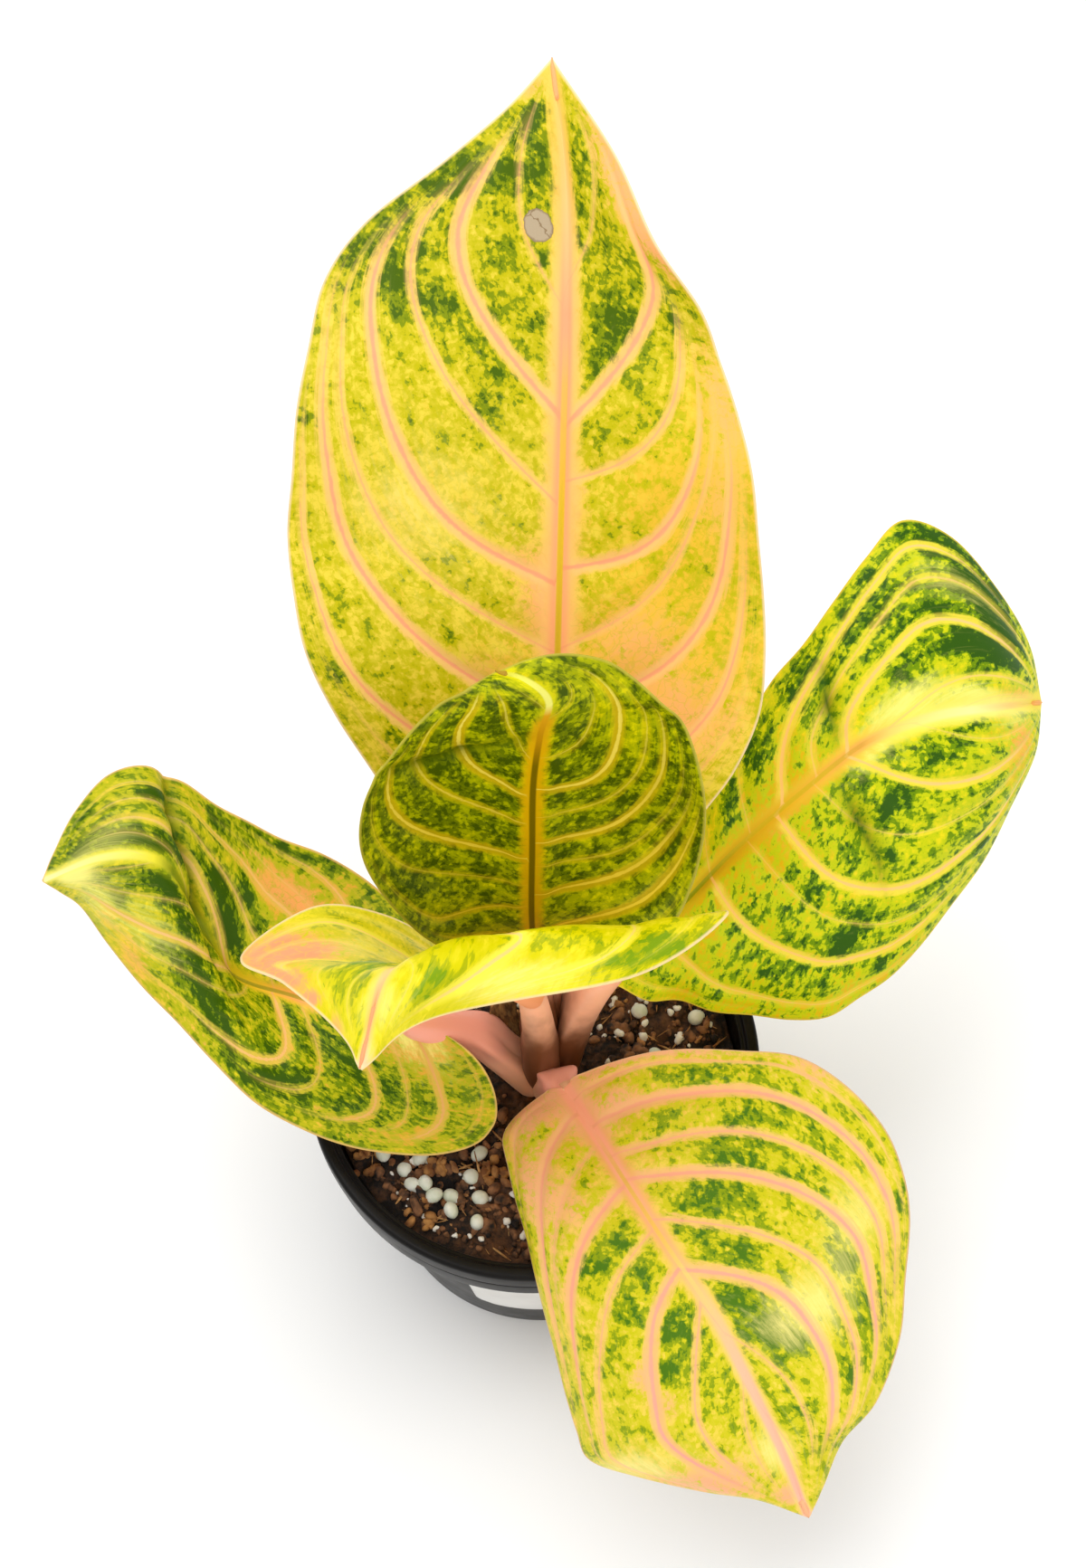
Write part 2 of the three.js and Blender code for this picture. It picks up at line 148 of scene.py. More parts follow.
def alongCurve(points, s):
    # smooth line through the points, s from 0 at the first to 1 at the last
    p = np.array(points, float)
    padded = np.vstack([2 * p[0] - p[1], p, 2 * p[-1] - p[-2]])
    x = np.clip(s, 0, 1) * (len(p) - 1)
    i = np.minimum(x.astype(int), len(p) - 2)
    f = (x - i)[:, None]
    a, b, c, d = (padded[i + k] for k in range(4))
    return 0.5 * (2 * b + (c - a) * f + (2 * a - 5 * b + 4 * c - d) * f ** 2 + (3 * b - a - 3 * c + d) * f ** 3)


def aheadOn(points, s, nudge):
    return alongCurve(points, s + nudge) - alongCurve(points, s - nudge)


def unit(vectors):
    length = np.linalg.norm(vectors, axis=-1, keepdims=True)
    return vectors / np.maximum(length, 1e-9)


def smoothStep(low, high, value):
    x = np.clip((value - low) / (high - low), 0, 1)
    return x * x * (3 - 2 * x)


def bell(value, reach):
    return np.exp(-(value / reach) ** 2)


# Camera, light and floor
studio = {
    "target": (6, 76.8, 80),
    "elevation": 59.4,  # degrees above the horizon
    "roll": -3,  # degrees
    "distance": 550,
    "focalPixels": 2330,
    "imageHeight": 1733,
    "sensor": 36,  # along the picture's longer side
    "floor": "#fbfbfa",
    "sky": 0.82,
    # the room itself is in metres: near and far end of the camera's view, the floor's half-width and the softboxes
    "view": (0.02, 20),
    "floorHalf": 4,
    "lightTarget": (0, 0.02, 0.12),
    "softboxes": {
        "skylightPanel": {"place": (-0.25, 0.4, 1.7), "size": (1.5, 1.1), "watts": 15},
        "roomFill": {"place": (0.6, -1.0, 1.1), "size": (1.2, 1.0), "watts": 4.5},
    },
}


def aimedAt(obj, target, rollDegrees=0):
    forward = (Vector(target) - obj.location).normalized()
    turn = forward.to_track_quat("-Z", "Y").to_matrix().to_4x4()
    obj.matrix_world = Matrix.Translation(obj.location) @ turn @ Matrix.Rotation(math.radians(rollDegrees), 4, "Z")


def makeCamera(name):
    elevation = math.radians(studio["elevation"])
    target = Vector(studio["target"]) * mm
    data = bpy.data.cameras.new(name)
    data.sensor_width = studio["sensor"]
    data.lens = studio["focalPixels"] * studio["sensor"] / studio["imageHeight"]
    data.clip_start, data.clip_end = studio["view"]
    camera = addObject(name, data)
    camera.location = target + Vector((0, -math.cos(elevation), math.sin(elevation))) * studio["distance"] * mm
    aimedAt(camera, target, studio["roll"])
    bpy.context.scene.camera = camera


def makeSoftbox(name, plan):
    data = bpy.data.lights.new(name, "AREA")
    data.shape = "RECTANGLE"
    data.size, data.size_y = plan["size"]
    data.energy = plan["watts"]
    softbox = addObject(name, data)
    softbox.location = plan["place"]
    aimedAt(softbox, studio["lightTarget"])


def makeFloor(name):
    # painted board, matt: a pale ground with no pattern of its own
    material, tree = startMaterial("studioBoardMatt")
    finishMaterial(tree, {"Base Color": studio["floor"], "Roughness": 0.9}, {})
    bm = bmesh.new()
    bmesh.ops.create_grid(bm, x_segments=1, y_segments=1, size=studio["floorHalf"])
    mesh = meshOf(bm, name)
    mesh.materials.append(material)
    addObject(name, mesh)


def makeStudio():
    makeCamera("photoCamera")
    for name, plan in studio["softboxes"].items():
        makeSoftbox(name, plan)
    makeFloor("studioFloor")
    world = bpy.data.worlds.new("studioRoom")
    world.use_nodes = True
    sky = world.node_tree.nodes["Background"]
    sky.inputs["Color"].default_value = linearColour("#ffffff")
    sky.inputs["Strength"].default_value = studio["sky"]
    bpy.context.scene.world = world
    bpy.context.scene.view_settings.view_transform = "Standard"


makeStudio()
print("studio ready")

# Leaf blades: the relief of the upper side and the thickness of the sheet are the same on all of them
sheet = {
    "cell": 0.95, "alongMore": 1.08, "acrossMore": 1.04,  # size of a mesh cell, and how much finer it really is
    "roundBase": 0.1,  # share of the length over which the blade opens from its stalk
    "thickness": 0.8, "marginThickness": 0.35, "marginReach": 1.6,  # it thins out over this distance from the margin
    "keelHeight": 2.0, "keelReach": 2.4, "keelLoss": 0.8, "keelEnd": 0.1,  # rib below the midrib, lower at the tip
    "puff": 0.7, "puffSpacing": 14,  # swelling between two side veins, full where they are this far apart
    "puffEdge": (0.3, 4), "puffRib": (1.5, 8),  # distances from margin and midrib over which it comes in
    "veinGroove": 0.3, "veinReach": 0.9, "widestVein": 1.6,
    "ribGroove": 0.8, "ribReach": 1.6, "ribLoss": 0.7, "ribEnd": 0.08,  # groove over the midrib, shallower at the tip
    "bank": 0.35, "bankAt": 3.6, "bankReach": 1.5,  # low swelling on both sides of that groove
    # a crease is also painted darker, as painted shade, out to the given reach from its line
    "creaseRound": 0.3, "creaseShadeReach": 1.9, "creaseOut": 0.12,  # rounding, painted reach, and run beyond the ends in t
    "haloLeast": 0.2, "haloShare": 0.95, "coreShare": 0.84,  # painted half-widths, as shares of a vein's own width
    "veinBaseReach": (1, 9), "veinThins": (0, 12), "veinEnds": (0.3, 3),  # distances from midrib, margin and margin
    "faint": 0.3, "faintWidths": (0.7, 1.8), "faintSpacings": (1.6, 6),  # thin or crowded veins have weaker paint
    "beforeFirst": 0.12, "afterLast": 0.25,  # room before the first vein and after the last, as shares of the length
}

# Along each crease the colour is also darkened, as painted shade of the fold.
# Pale spots are partly the leaf's own pale places and partly painted sheen, whitish light near the tips.
# Each blade has the midrib and both margins from base to tip, the tip itself being the midrib's last point.
# Left and right are as seen looking along the leaf from its base, with its upper face up. The arch of a half is the
# height of its bulge, at even steps from base to tip. A place on a blade is s, from 0 at the base to 1 at the tip,
# and t, from -1 at the left margin over 0 at the midrib to 1 at the right margin.
# Veins are start, lift, curl and hook in percent of the length, and the width in mm: each leaves the midrib at start
# and runs along start + lift * u + curl * u^4 + hook * u^16, where u goes from 0 at the midrib to 1 at the margin.
# Spots are s, t, size along, size across and strength, all in percent. drySpot is s and t in percent and its two
# half-sizes in mm. A crease is a line of t, s and depth across the blade, with t and s as shares and the rest in mm.
# glow, rib and groove colour the midrib, from wide to narrow, with place, colour and strength from base to tip. Their
# half-widths are given at base and tip. crisp sharpens the vein lines, veinBase widens them beside the midrib,
# greenLevel and spread say how much green paint there is and how far it varies, and ragged how torn its edge is.
blades = {
    "back": {
        "midrib": [(5, 16, 122), (8, 32, 146), (10, 48, 168), (12, 66, 188), (14, 85, 206), (16, 106, 222),
            (17.5, 130, 236), (16, 154, 249)],
        "left": [(-14, 20, 125), (-23, 27.5, 144), (-31.1, 34.9, 161), (-37.9, 41.7, 174.3),
            (-42.7, 49.9, 184.9), (-44.5, 60.5, 192.5), (-45, 71, 199), (-43, 79, 208.5), (-41, 88, 218),
            (-38, 99, 224), (-34, 113.5, 229), (-24.6, 123.6, 235.1), (-8.1, 133.2, 241.2),
            (5.6, 143.7, 245.1)],
        "right": [(25, 17, 125), (32.5, 20, 139), (40, 24, 152), (47.5, 29, 162.5), (53, 37, 172),
            (54.5, 45.5, 181), (54.5, 54, 190), (53.5, 61.5, 201), (52.5, 70, 211), (50.5, 80.5, 216),
            (47.5, 91.5, 221), (43.5, 99, 230), (34.7, 109.6, 239.1), (27.6, 129.6, 244.8)],
        "archLeft": [0, 2, 3, 3, 2, 2, 1, 0], "archRight": [0, 2, 3, 3, 2, 2, 1, 0],
        "veinsLeft": [(2, 4, 8, 20, 1.2), (8, 5, 9, 25, 0.9), (15, 7, 9, 32, 1.6), (25, 11, 22, 43, 2),
            (33, 12, 25, 50, 1.1), (41, 11, 48, 50, 2.2), (50, 25, 33, 55, 1.2), (60, 28, 36, 60, 2.4),
            (72, 33, 35, 60, 0.9)],
        "veinsRight": [(3, 2, 12, 25, 1.1), (10, 3, 17, 27, 0.9), (17, 4, 23, 29, 1.5), (27, 9, 23, 45, 2),
            (33.5, 15, 33, 45, 1.1), (43, 7, 33, 70, 2.1), (53, 9, 37, 70, 1.2), (59, 25, 15, 95, 2.3),
            (75, 30, 20, 95, 0.8)],
        "greenSpots": [(20, -73, 1, 6, 60), (27, -90, 2, 6, 65), (34, -43, 1, 3, 65), (38, -91, 4, 5, 20),
            (38, -25, 1, 6, 20), (42, -42, 2, 7, 25), (49, -83, 1, 3, 40), (51, 20, 1, 6, 25),
            (52, -68, 1, 4, 40), (56, -96, 1, 3, 80), (56, -46, 1, 3, 60), (57, -58, 1, 3, 60),
            (57, -15, 1, 3, 40), (60, -32, 2, 6, 65), (60, 23, 2, 13, 35), (64, -28, 1, 4, 40),
            (66, -23, 6, 25, 20), (68, 22, 2, 15, 55), (68, 37, 5, 23, 25), (70, -12, 1, 5, 50),
            (71, -55, 2, 8, 50), (71, -24, 1, 7, 45), (73, -71, 3, 7, 50), (73, 35, 3, 15, 60),
            (75, -91, 3, 11, 40), (75, -71, 9, 37, 36), (75, 76, 2, 5, 60), (77, -12, 1, 3, 60),
            (78, -33, 2, 8, 30), (79, -100, 4, 23, 20), (81, 11, 1, 5, 70), (83, 56, 14, 64, 40),
            (84, -77, 2, 27, 55), (86, -67, 6, 57, 40), (86, -36, 2, 19, 40), (89, -27, 1, 9, 50),
            (89, 44, 3, 17, 40), (93, -51, 3, 23, 100)],
        "blushSpots": [(27, 59, 7, 40, 55), (30, -28, 3, 18, 35), (37, 38, 5, 26, 40), (39, -6, 6, 12, 55),
            (44, -17, 3, 13, 25), (48, -64, 6, 23, 15), (51, 9, 6, 8, 40), (53, 79, 6, 9, 30),
            (66, 93, 11, 15, 45), (71, 2, 9, 11, 45), (78, -49, 6, 12, 20), (85, 100, 4, 28, 60),
            (91, 95, 6, 48, 75), (96, -82, 2, 50, 50)],
        "warmSpots": [(32, 39, 7, 53, 40), (48, 65, 17, 40, 50), (62, 90, 12, 19, 30), (86, 99, 6, 42, 50)],
        "paleSpots": [(48, -54, 9, 30, 30)],
        "creases": [],
        "drySpot": (80.8, -15.5, 3.3, 3.8),
        "colours": {"ground": "#e8ce40", "warm": "#eabc34", "pale": "#fbe27c", "lime": "#c0b608",
            "green": "#7e8c04", "dark": "#486204", "halo": "#f8c07a", "vein": "#f4a274", "veinTip": "#f8a87c",
            "margin": "#fbdcaa", "blush": "#fab070"},
        "glow": [(0, "#fdc474", 0.9), (0.6, "#fdc476", 0.9), (0.85, "#fcc478", 0.8), (1, "#fad060", 0.5)],
        "rib": [(0, "#feb47c", 1), (0.4, "#feb47c", 1), (0.72, "#fea87a", 1), (0.84, "#fdc680", 0.9),
            (1, "#fbd070", 0.8)],
        "groove": [(0, "#b4a010", 0.9), (0.5, "#e0bd10", 0.9), (0.64, "#f2be38", 0.6), (0.7, "#febc66", 0)],
        "ribWide": (3.6, 1), "grooveWide": 0.9, "glowWide": (8, 3.5), "crisp": 0.2, "veinBase": 1.15,
        "greenLevel": 0.1, "spread": 1.05, "ragged": 3, "seed": 3,
    },
    "young": {
        "midrib": [(2, 9, 118), (2, 8, 140), (3, 12, 162), (4, 16, 182), (6, 18, 198), (8, 20, 207),
            (4, 22, 212), (-2, 25, 211)],
        "left": [(-10, 5, 122), (-22.1, -1, 152), (-30.8, 2, 176), (-29.9, 6, 194), (-22.1, 12, 206),
            (-14, 18, 211), (-8, 20, 213)],
        "right": [(14, 5, 122), (24, 0.5, 137.5), (32, -2, 152), (36, 0.5, 164.5), (38, 4, 175),
            (38.5, 6, 183.5), (38, 8, 191), (36.5, 12, 198), (34, 16, 204), (30, 18, 208), (25, 22, 211),
            (19.5, 25, 213.5), (12, 26, 215), (5, 26, 213.5)],
        "archLeft": [0, -4, -6, -6, -3, 0, 0, 0], "archRight": [0, -4, -6, -6, -4, -2, 0, 0],
        "veinsLeft": [(8, 0, 3, 10, 1.1), (16.5, -5, 4, 25, 1.27), (21, 1, 9, 35, 0.85),
            (26.5, 2, 25, 60, 1.61), (34, 7, 40, 60, 1.19), (40, 12, 120, 50, 1.7), (48, 50, 130, 50, 1.02),
            (66, 60, 130, 50, 0.68)],
        "veinsRight": [(3, 1, 10, 12, 0.77), (9, 3, 18, 16, 1.7), (19, -1, 25, 22, 1.78),
            (25, -5, 32, 30, 0.94), (30, -7, 62, 35, 1.7), (35.5, -6, 85, 40, 0.94), (42, -12, 220, 50, 1.78),
            (50, -8, 600, 50, 0.94), (63, 20, 600, 50, 0.68)],
        "greenSpots": [(12, 7, 6, 39, -30), (16, 47, 2, 24, -35), (17, -67, 2, 16, -20), (18, -16, 4, 9, -20),
            (22, -52, 2, 18, -30), (22, 72, 2, 14, -30), (25, 66, 1, 8, -30), (27, 36, 1, 14, -35),
            (28, -28, 2, 13, -15), (54, 62, 8, 10, -30), (59, 47, 7, 9, -50), (72, 36, 6, 19, -30)],
        "blushSpots": [], "warmSpots": [], "paleSpots": [],
        "creases": [
            {"width": 1.8, "line": [(-0.98, 0.504, 0.8), (-0.65, 0.47, 2.2), (-0.42, 0.488, 2.4),
             (-0.19, 0.534, 1.4), (-0.03, 0.566, 0.3)]},
        ],
        "colours": {"ground": "#dcd404", "warm": "#c4a400", "pale": "#c8d460", "lime": "#a6ac00",
            "green": "#6e7c00", "dark": "#445600", "halo": "#c8a410", "vein": "#f4d020", "veinTip": "#f8ec78",
            "margin": "#b8ac3c", "blush": "#b08a10"},
        "glow": [(0, "#e2ac00", 0.8), (0.5, "#e4b004", 1), (0.62, "#dca010", 0.9), (0.68, "#b8b020", 0.1),
            (1, "#b0b020", 0)],
        "rib": [(0, "#e2ac00", 0), (0.66, "#dca014", 0), (1, "#e0e050", 0)],
        "groove": [(0, "#786400", 1), (0.48, "#7c6600", 1), (0.56, "#c88f08", 1), (0.65, "#dca014", 1),
            (0.7, "#f6f080", 0.9), (0.85, "#eeea70", 0.8), (1, "#d6d640", 0.5)],
        "ribWide": (2, 1.2), "grooveWide": 0.85, "glowWide": (3.6, 2.8), "crisp": 0.9, "veinBase": 0.4,
        "greenLevel": 0.56, "spread": 1.1, "ragged": 2, "seed": 11,
    },
    "front": {
        "midrib": [(1, -1, 118), (0, -7, 132), (-2, -13, 147), (-6, -19, 161), (-12, -23, 175), (-20, -26, 185),
            (-26, -29, 190), (-31, -46, 186)],
        "left": [(9, -2, 120), (15, -6, 136), (18, -6, 152), (30, -9, 165), (42, -11, 173), (22, -28, 182),
            (-17, -36.5, 187)],
        "right": [(-9, 3, 118), (-19, 9, 125), (-31, 11, 138), (-45, 8, 149), (-58, -10, 163), (-47, -23, 176),
            (-34.5, -38.5, 185)],
        "archLeft": [0, 0, -2, -2, 2, 8, 5, 0], "archRight": [0, -3, -6, -5, 0, 2, 2, 0],
        "veinsLeft": [(8, 10, 10, 20, 0.9), (22, 12, 15, 20, 1.2), (36, 12, 15, 25, 0.8), (48, 13, 18, 25, 1.2),
            (65, 13, 20, 30, 2.2), (80, 12, 20, 30, 0.7)],
        "veinsRight": [(6, 10, 10, 20, 1), (18, 12, 15, 20, 1.5), (30, 12, 15, 25, 0.8), (42, 13, 18, 25, 1.7),
            (56, 13, 18, 30, 0.7), (72, 13, 20, 30, 0.7)],
        "greenSpots": [(43, 85, 8, 7, 25), (62, -98, 3, 6, 40), (65, -96, 3, 12, 40), (67, -97, 2, 7, 50),
            (68, 35, 40, 26, 50), (70, -92, 4, 13, 45), (71, -90, 2, 6, 60), (73, -69, 3, 11, 50),
            (74, 61, 7, 17, 30), (75, -94, 2, 8, 30), (80, -64, 1, 13, 50), (83, -75, 3, 34, 30),
            (83, -52, 1, 19, 50), (86, -56, 2, 21, 50), (91, -55, 2, 27, 40)],
        "blushSpots": [(0, 0, 7, 200, 130), (50, 77, 7, 15, 40), (55, 76, 8, 13, 50), (58, 92, 8, 9, 95),
            (70, 94, 4, 12, 90), (77, 95, 2, 9, 80), (80, -96, 3, 7, 35), (84, 96, 3, 15, 50),
            (91, 7, 6, 28, 45)],
        "warmSpots": [(66, 95, 11, 30, 60)],
        "paleSpots": [(42, 70, 10, 15, 30), (77, -88, 4, 12, 35), (81, -87, 3, 16, 30), (90, -16, 4, 79, 40)],
        "creases": [],
        "colours": {"ground": "#eedc24", "warm": "#eec428", "pale": "#fdf07c", "lime": "#d6cc00",
            "green": "#acb000", "dark": "#7c9a08", "halo": "#f4e84c", "vein": "#fbd86a", "veinTip": "#fdcf7c",
            "margin": "#fddfa8", "blush": "#f7a06c"},
        "glow": [(0, "#f2a080", 1), (0.06, "#f4b070", 0.9), (0.15, "#f6ec60", 0.8), (0.6, "#f4ee50", 0.6),
            (0.8, "#f8de60", 0.5), (1, "#fcd894", 0.9)],
        "rib": [(0, "#f2a080", 1), (0.08, "#f4b080", 0.9), (0.2, "#f8f0a0", 0.6), (0.5, "#fbf49c", 0.8),
            (0.65, "#e6ea2c", 0.4), (0.8, "#f6cc7c", 0.8), (0.9, "#fbc48c", 1), (1, "#fdcb9c", 1)],
        "groove": [(0, "#f6e880", 0), (1, "#f6e880", 0)],
        "ribWide": (2.4, 1.3), "grooveWide": 0.8, "glowWide": (5, 3.5), "crisp": 0.3, "veinBase": 1,
        "greenLevel": 0.16, "spread": 1, "ragged": 3, "seed": 19,
    },
    "right": {
        "midrib": [(18, 6, 112), (34, 16, 121), (49, 27, 130), (65, 37, 138), (80, 46, 143), (96, 52, 143),
            (112, 58, 136), (128, 70, 118)],
        "left": [(14, 18, 112), (24.5, 24.5, 120.5), (34, 31, 128), (40.5, 37, 133.5), (46, 44, 138),
            (53, 52.5, 142), (60, 62, 146), (67.5, 68.5, 150.5), (74.6, 76.4, 154.9), (83.2, 85.8, 159.6),
            (92.1, 93.9, 162), (104, 93, 156), (114.7, 85.7, 145.8), (123.6, 77.7, 132.8)],
        "right": [(20, 2, 108), (27, 1.5, 106), (35, 2.5, 104), (43, 0, 102), (52, -0.5, 100), (61, -2, 99.5),
            (69.5, -2, 100), (77, 1.5, 102), (84.5, 5.5, 104), (92, 12, 106), (100.1, 20.9, 108),
            (109.5, 31.9, 109.7), (117.5, 44.7, 111.8), (125, 57.5, 115)],
        "archLeft": [0, 0, 2, 2, 2, 2, 2, 0], "archRight": [0, 3, 4, 5, 5, 4, 3, 0],
        "veinsLeft": [(5, 0, 5, 10, 0.8), (14, 0, 4, 10, 1.04), (23, 0, 3, 12, 0.88), (32, 0, 3, 15, 0.8),
            (38.5, 5, 28, 150, 1.76), (46, 0, 115, 60, 1.12), (53, 2, 380, 50, 1.76), (60, 100, 380, 50, 1.2),
            (76, 100, 380, 50, 0.64)],
        "veinsRight": [(1, 7, 10, 25, 0.8), (10, 10, 12, 45, 1.2), (23, 10, 44, 40, 1.6),
            (31, 18, 40, 45, 0.72), (37, 18, 70, 45, 1.76), (45, 26, 170, 40, 0.8), (52.5, 50, 220, 40, 1.6),
            (67, 70, 250, 40, 0.72)],
        "greenSpots": [(27, 41, 2, 5, 70), (30, -54, 2, 22, 40), (31, 33, 3, 7, 30), (31, 71, 1, 3, 60),
            (34, 78, 15, 16, 30), (37, -66, 3, 25, 65), (38, 27, 2, 5, 60), (38, 54, 10, 23, 20),
            (41, 39, 3, 6, 60), (46, -69, 2, 19, 60), (46, 20, 4, 8, 45), (46, 70, 3, 6, 70),
            (48, -41, 3, 18, 30), (49, 62, 5, 9, 55), (50, -76, 3, 16, 70), (50, 35, 3, 7, 50),
            (52, 70, 2, 5, 60), (53, 11, 3, 7, 60), (54, 89, 2, 4, 90), (57, -71, 3, 14, 60),
            (58, 48, 2, 4, 70), (59, 28, 5, 8, 70), (62, -81, 3, 13, 60), (62, 7, 3, 6, 60),
            (63, 85, 13, 36, 15), (64, -59, 4, 13, 50), (66, -27, 5, 12, 50), (67, 75, 4, 10, 25),
            (69, 18, 3, 6, 55), (71, -87, 5, 7, 50), (71, -68, 6, 6, 60), (73, -94, 3, 4, 40),
            (73, -52, 5, 5, 55), (75, 17, 4, 7, 60), (77, 76, 3, 14, 40), (78, -36, 6, 8, 80),
            (79, -94, 4, 14, 55), (79, -74, 5, 11, 60), (80, 51, 3, 10, 40), (81, -20, 3, 7, 70),
            (81, 7, 3, 5, 60), (83, -61, 5, 19, 75), (85, -87, 4, 25, 60), (88, -64, 3, 21, 60),
            (88, -41, 4, 15, 60), (91, 15, 3, 10, 60)],
        "blushSpots": [(38, 1, 5, 11, 35), (44, 26, 10, 15, 25), (53, 54, 8, 10, 30), (89, 41, 4, 24, 60),
            (93, -14, 7, 15, 50)],
        "warmSpots": [(25, 23, 20, 62, 50), (35, 92, 19, 16, 80), (39, -19, 9, 48, 40), (52, 94, 13, 24, 50),
            (86, 59, 7, 49, 30)],
        "paleSpots": [(57, 3, 7, 9, 40), (66, -10, 9, 12, 60), (76, -71, 9, 12, 30), (81, -10, 7, 7, 50),
            (90, 12, 6, 16, 40)],
        "creases": [
            {"width": 3, "line": [(-0.68, 0.522, 2), (-0.46, 0.514, 3.2), (-0.17, 0.518, 1.4)]},
            {"width": 3.2, "line": [(0.1, 0.504, 1), (0.26, 0.53, 3.4), (0.46, 0.56, 2.6),
             (0.6, 0.566, 0.5)]},
        ],
        "colours": {"ground": "#e6d414", "warm": "#dcae08", "pale": "#f6ee7c", "lime": "#bec608",
            "green": "#6c8c00", "dark": "#305608", "halo": "#f0d84c", "vein": "#f2bc54", "veinTip": "#fbcc84",
            "margin": "#ecd040", "blush": "#f0a850"},
        "glow": [(0, "#d8c818", 0.9), (0.3, "#dab418", 0.9), (0.55, "#f0c040", 0.9), (0.66, "#f8e860", 0.8),
            (0.85, "#faee84", 0.8), (1, "#f0dc40", 0.6)],
        "rib": [(0, "#d8d400", 0.9), (0.12, "#d6cc04", 0.9), (0.22, "#cca414", 0.9), (0.4, "#e4b420", 0.9),
            (0.56, "#f2b050", 1), (0.65, "#fcdc70", 1), (0.8, "#faf098", 1), (0.9, "#fad074", 1),
            (1, "#e8d840", 0.8)],
        "groove": [(0, "#7a8600", 1), (0.2, "#8c940a", 0.9), (0.32, "#ccb014", 0.7), (0.48, "#c8b010", 0.6),
            (0.56, "#c89a34", 0.6), (0.62, "#f0b050", 0)],
        "ribWide": (2, 1), "grooveWide": 0.7, "glowWide": (4, 3.6), "crisp": 0.5, "veinBase": 1,
        "greenLevel": 0.28, "spread": 1.1, "ragged": 3, "seed": 27,
    },
    "left": {
        "midrib": [(-24, -2, 108), (-40, 3, 104), (-56, 10, 101), (-70, 14, 107), (-75, 21, 124),
            (-80, 26, 140), (-92, 26, 144), (-109, 28, 131)],
        "left": [(-2, -12, 100), (-7.5, -19.5, 95), (-13, -25, 91), (-22.5, -27, 89.5), (-33, -26.5, 90),
            (-43.5, -25, 92.5), (-54, -21.5, 96), (-64, -16.5, 101), (-72.5, -8.5, 106), (-80.5, 0, 111),
            (-88.1, 7.4, 116), (-95.3, 16, 121.2), (-100.9, 23.5, 125.7), (-105.4, 26.2, 128.8)],
        "right": [(-22, 8, 110), (-21.5, 13, 112), (-23, 18, 114), (-29.5, 24.6, 116), (-37.7, 31.6, 118.4),
            (-46.5, 36.6, 121.1), (-55.8, 39.5, 124.3), (-63, 42.1, 128.6), (-70, 44, 134), (-77, 47, 141),
            (-84, 48, 146), (-92.5, 46, 145.5), (-100, 39, 142), (-105, 32.5, 137)],
        "archLeft": [0, 2, 3, 3, 2, 2, 1, 0], "archRight": [0, 2, 3, 3, 2, 2, 1, 0],
        "veinsLeft": [(0.5, 2, 0, 40, 0.94), (3, 13, 6, 42, 1.61), (9, 13, 8, 45, 0.85), (18, 5, 18, 50, 1.44),
            (27, 9, 22, 55, 0.94), (33, 10, 33, 90, 1.7), (38, 35, 35, 90, 0.68), (42, 52, 40, 90, 1.61),
            (56, 60, 45, 90, 0.77), (72, 70, 50, 90, 0.68)],
        "veinsRight": [(2, 5, 10, 25, 1.02), (9, 7, 10, 30, 0.77), (16, 10, 10, 35, 1.44),
            (20, 8, 45, 50, 0.77), (24, 5, 95, 60, 1.36), (32, 22, 190, 60, 1.02), (42, 65, 300, 60, 1.61),
            (60, 70, 300, 60, 0.77), (76, 80, 300, 60, 0.68)],
        "greenSpots": [(15, -50, 14, 50, -14), (9, -64, 5, 13, 15), (20, -54, 5, 19, 15), (23, -47, 26, 39, 30),
            (26, -36, 7, 13, 25), (33, -69, 6, 11, 20), (33, -31, 7, 17, 30), (34, 96, 3, 9, 70),
            (39, -82, 10, 15, 30), (41, 41, 2, 9, 60), (41, 93, 3, 8, 70), (42, -67, 7, 15, 20),
            (46, 18, 3, 9, 60), (47, 50, 2, 8, 50), (49, -87, 5, 15, 35), (50, 82, 4, 14, 50),
            (51, 22, 4, 17, 80), (56, 36, 3, 12, 70), (57, -81, 4, 16, 35), (57, -79, 9, 48, 20),
            (57, 87, 3, 14, 60), (61, -54, 4, 18, 40), (66, -43, 7, 22, 20), (67, -60, 4, 17, 40),
            (70, -14, 6, 14, 70), (70, 11, 4, 14, 50), (73, 71, 4, 10, 70), (77, 13, 5, 11, 50),
            (79, -42, 2, 10, 50), (80, 45, 9, 34, 20), (84, -41, 5, 20, 70), (84, 26, 6, 27, 70),
            (90, 20, 3, 27, 50)],
        "blushSpots": [(7, -33, 5, 15, 40), (15, -22, 4, 11, 35), (34, 66, 4, 11, 50), (37, -85, 11, 14, 40),
            (38, -24, 9, 17, 25), (40, 68, 5, 14, 50), (48, 77, 5, 14, 40), (58, -96, 4, 15, 50),
            (66, -93, 5, 19, 35), (74, -85, 4, 23, 45), (80, 81, 4, 24, 20), (81, -71, 3, 23, 40)],
        "warmSpots": [(20, -54, 24, 45, 75), (31, 93, 6, 20, 50), (42, 71, 11, 28, 70), (58, 100, 6, 22, 60)],
        "paleSpots": [(4, 6, 8, 48, 90), (71, -52, 7, 25, 30), (83, 28, 8, 30, 30), (84, -59, 7, 38, 40),
            (92, -22, 5, 38, 80)],
        "creases": [
            {"width": 2.2, "line": [(-0.49, 0.502, 0.8), (-0.14, 0.544, 3.2), (0.14, 0.594, 4.6),
             (0.28, 0.648, 5), (0.53, 0.678, 4.6), (0.98, 0.668, 3)]},
        ],
        "colours": {"ground": "#e2cc20", "warm": "#e0a834", "pale": "#f8f080", "lime": "#b0b010",
            "green": "#6e8400", "dark": "#365400", "halo": "#dab850", "vein": "#e4a85c", "veinTip": "#f9cc88",
            "margin": "#ecc070", "blush": "#efa25c"},
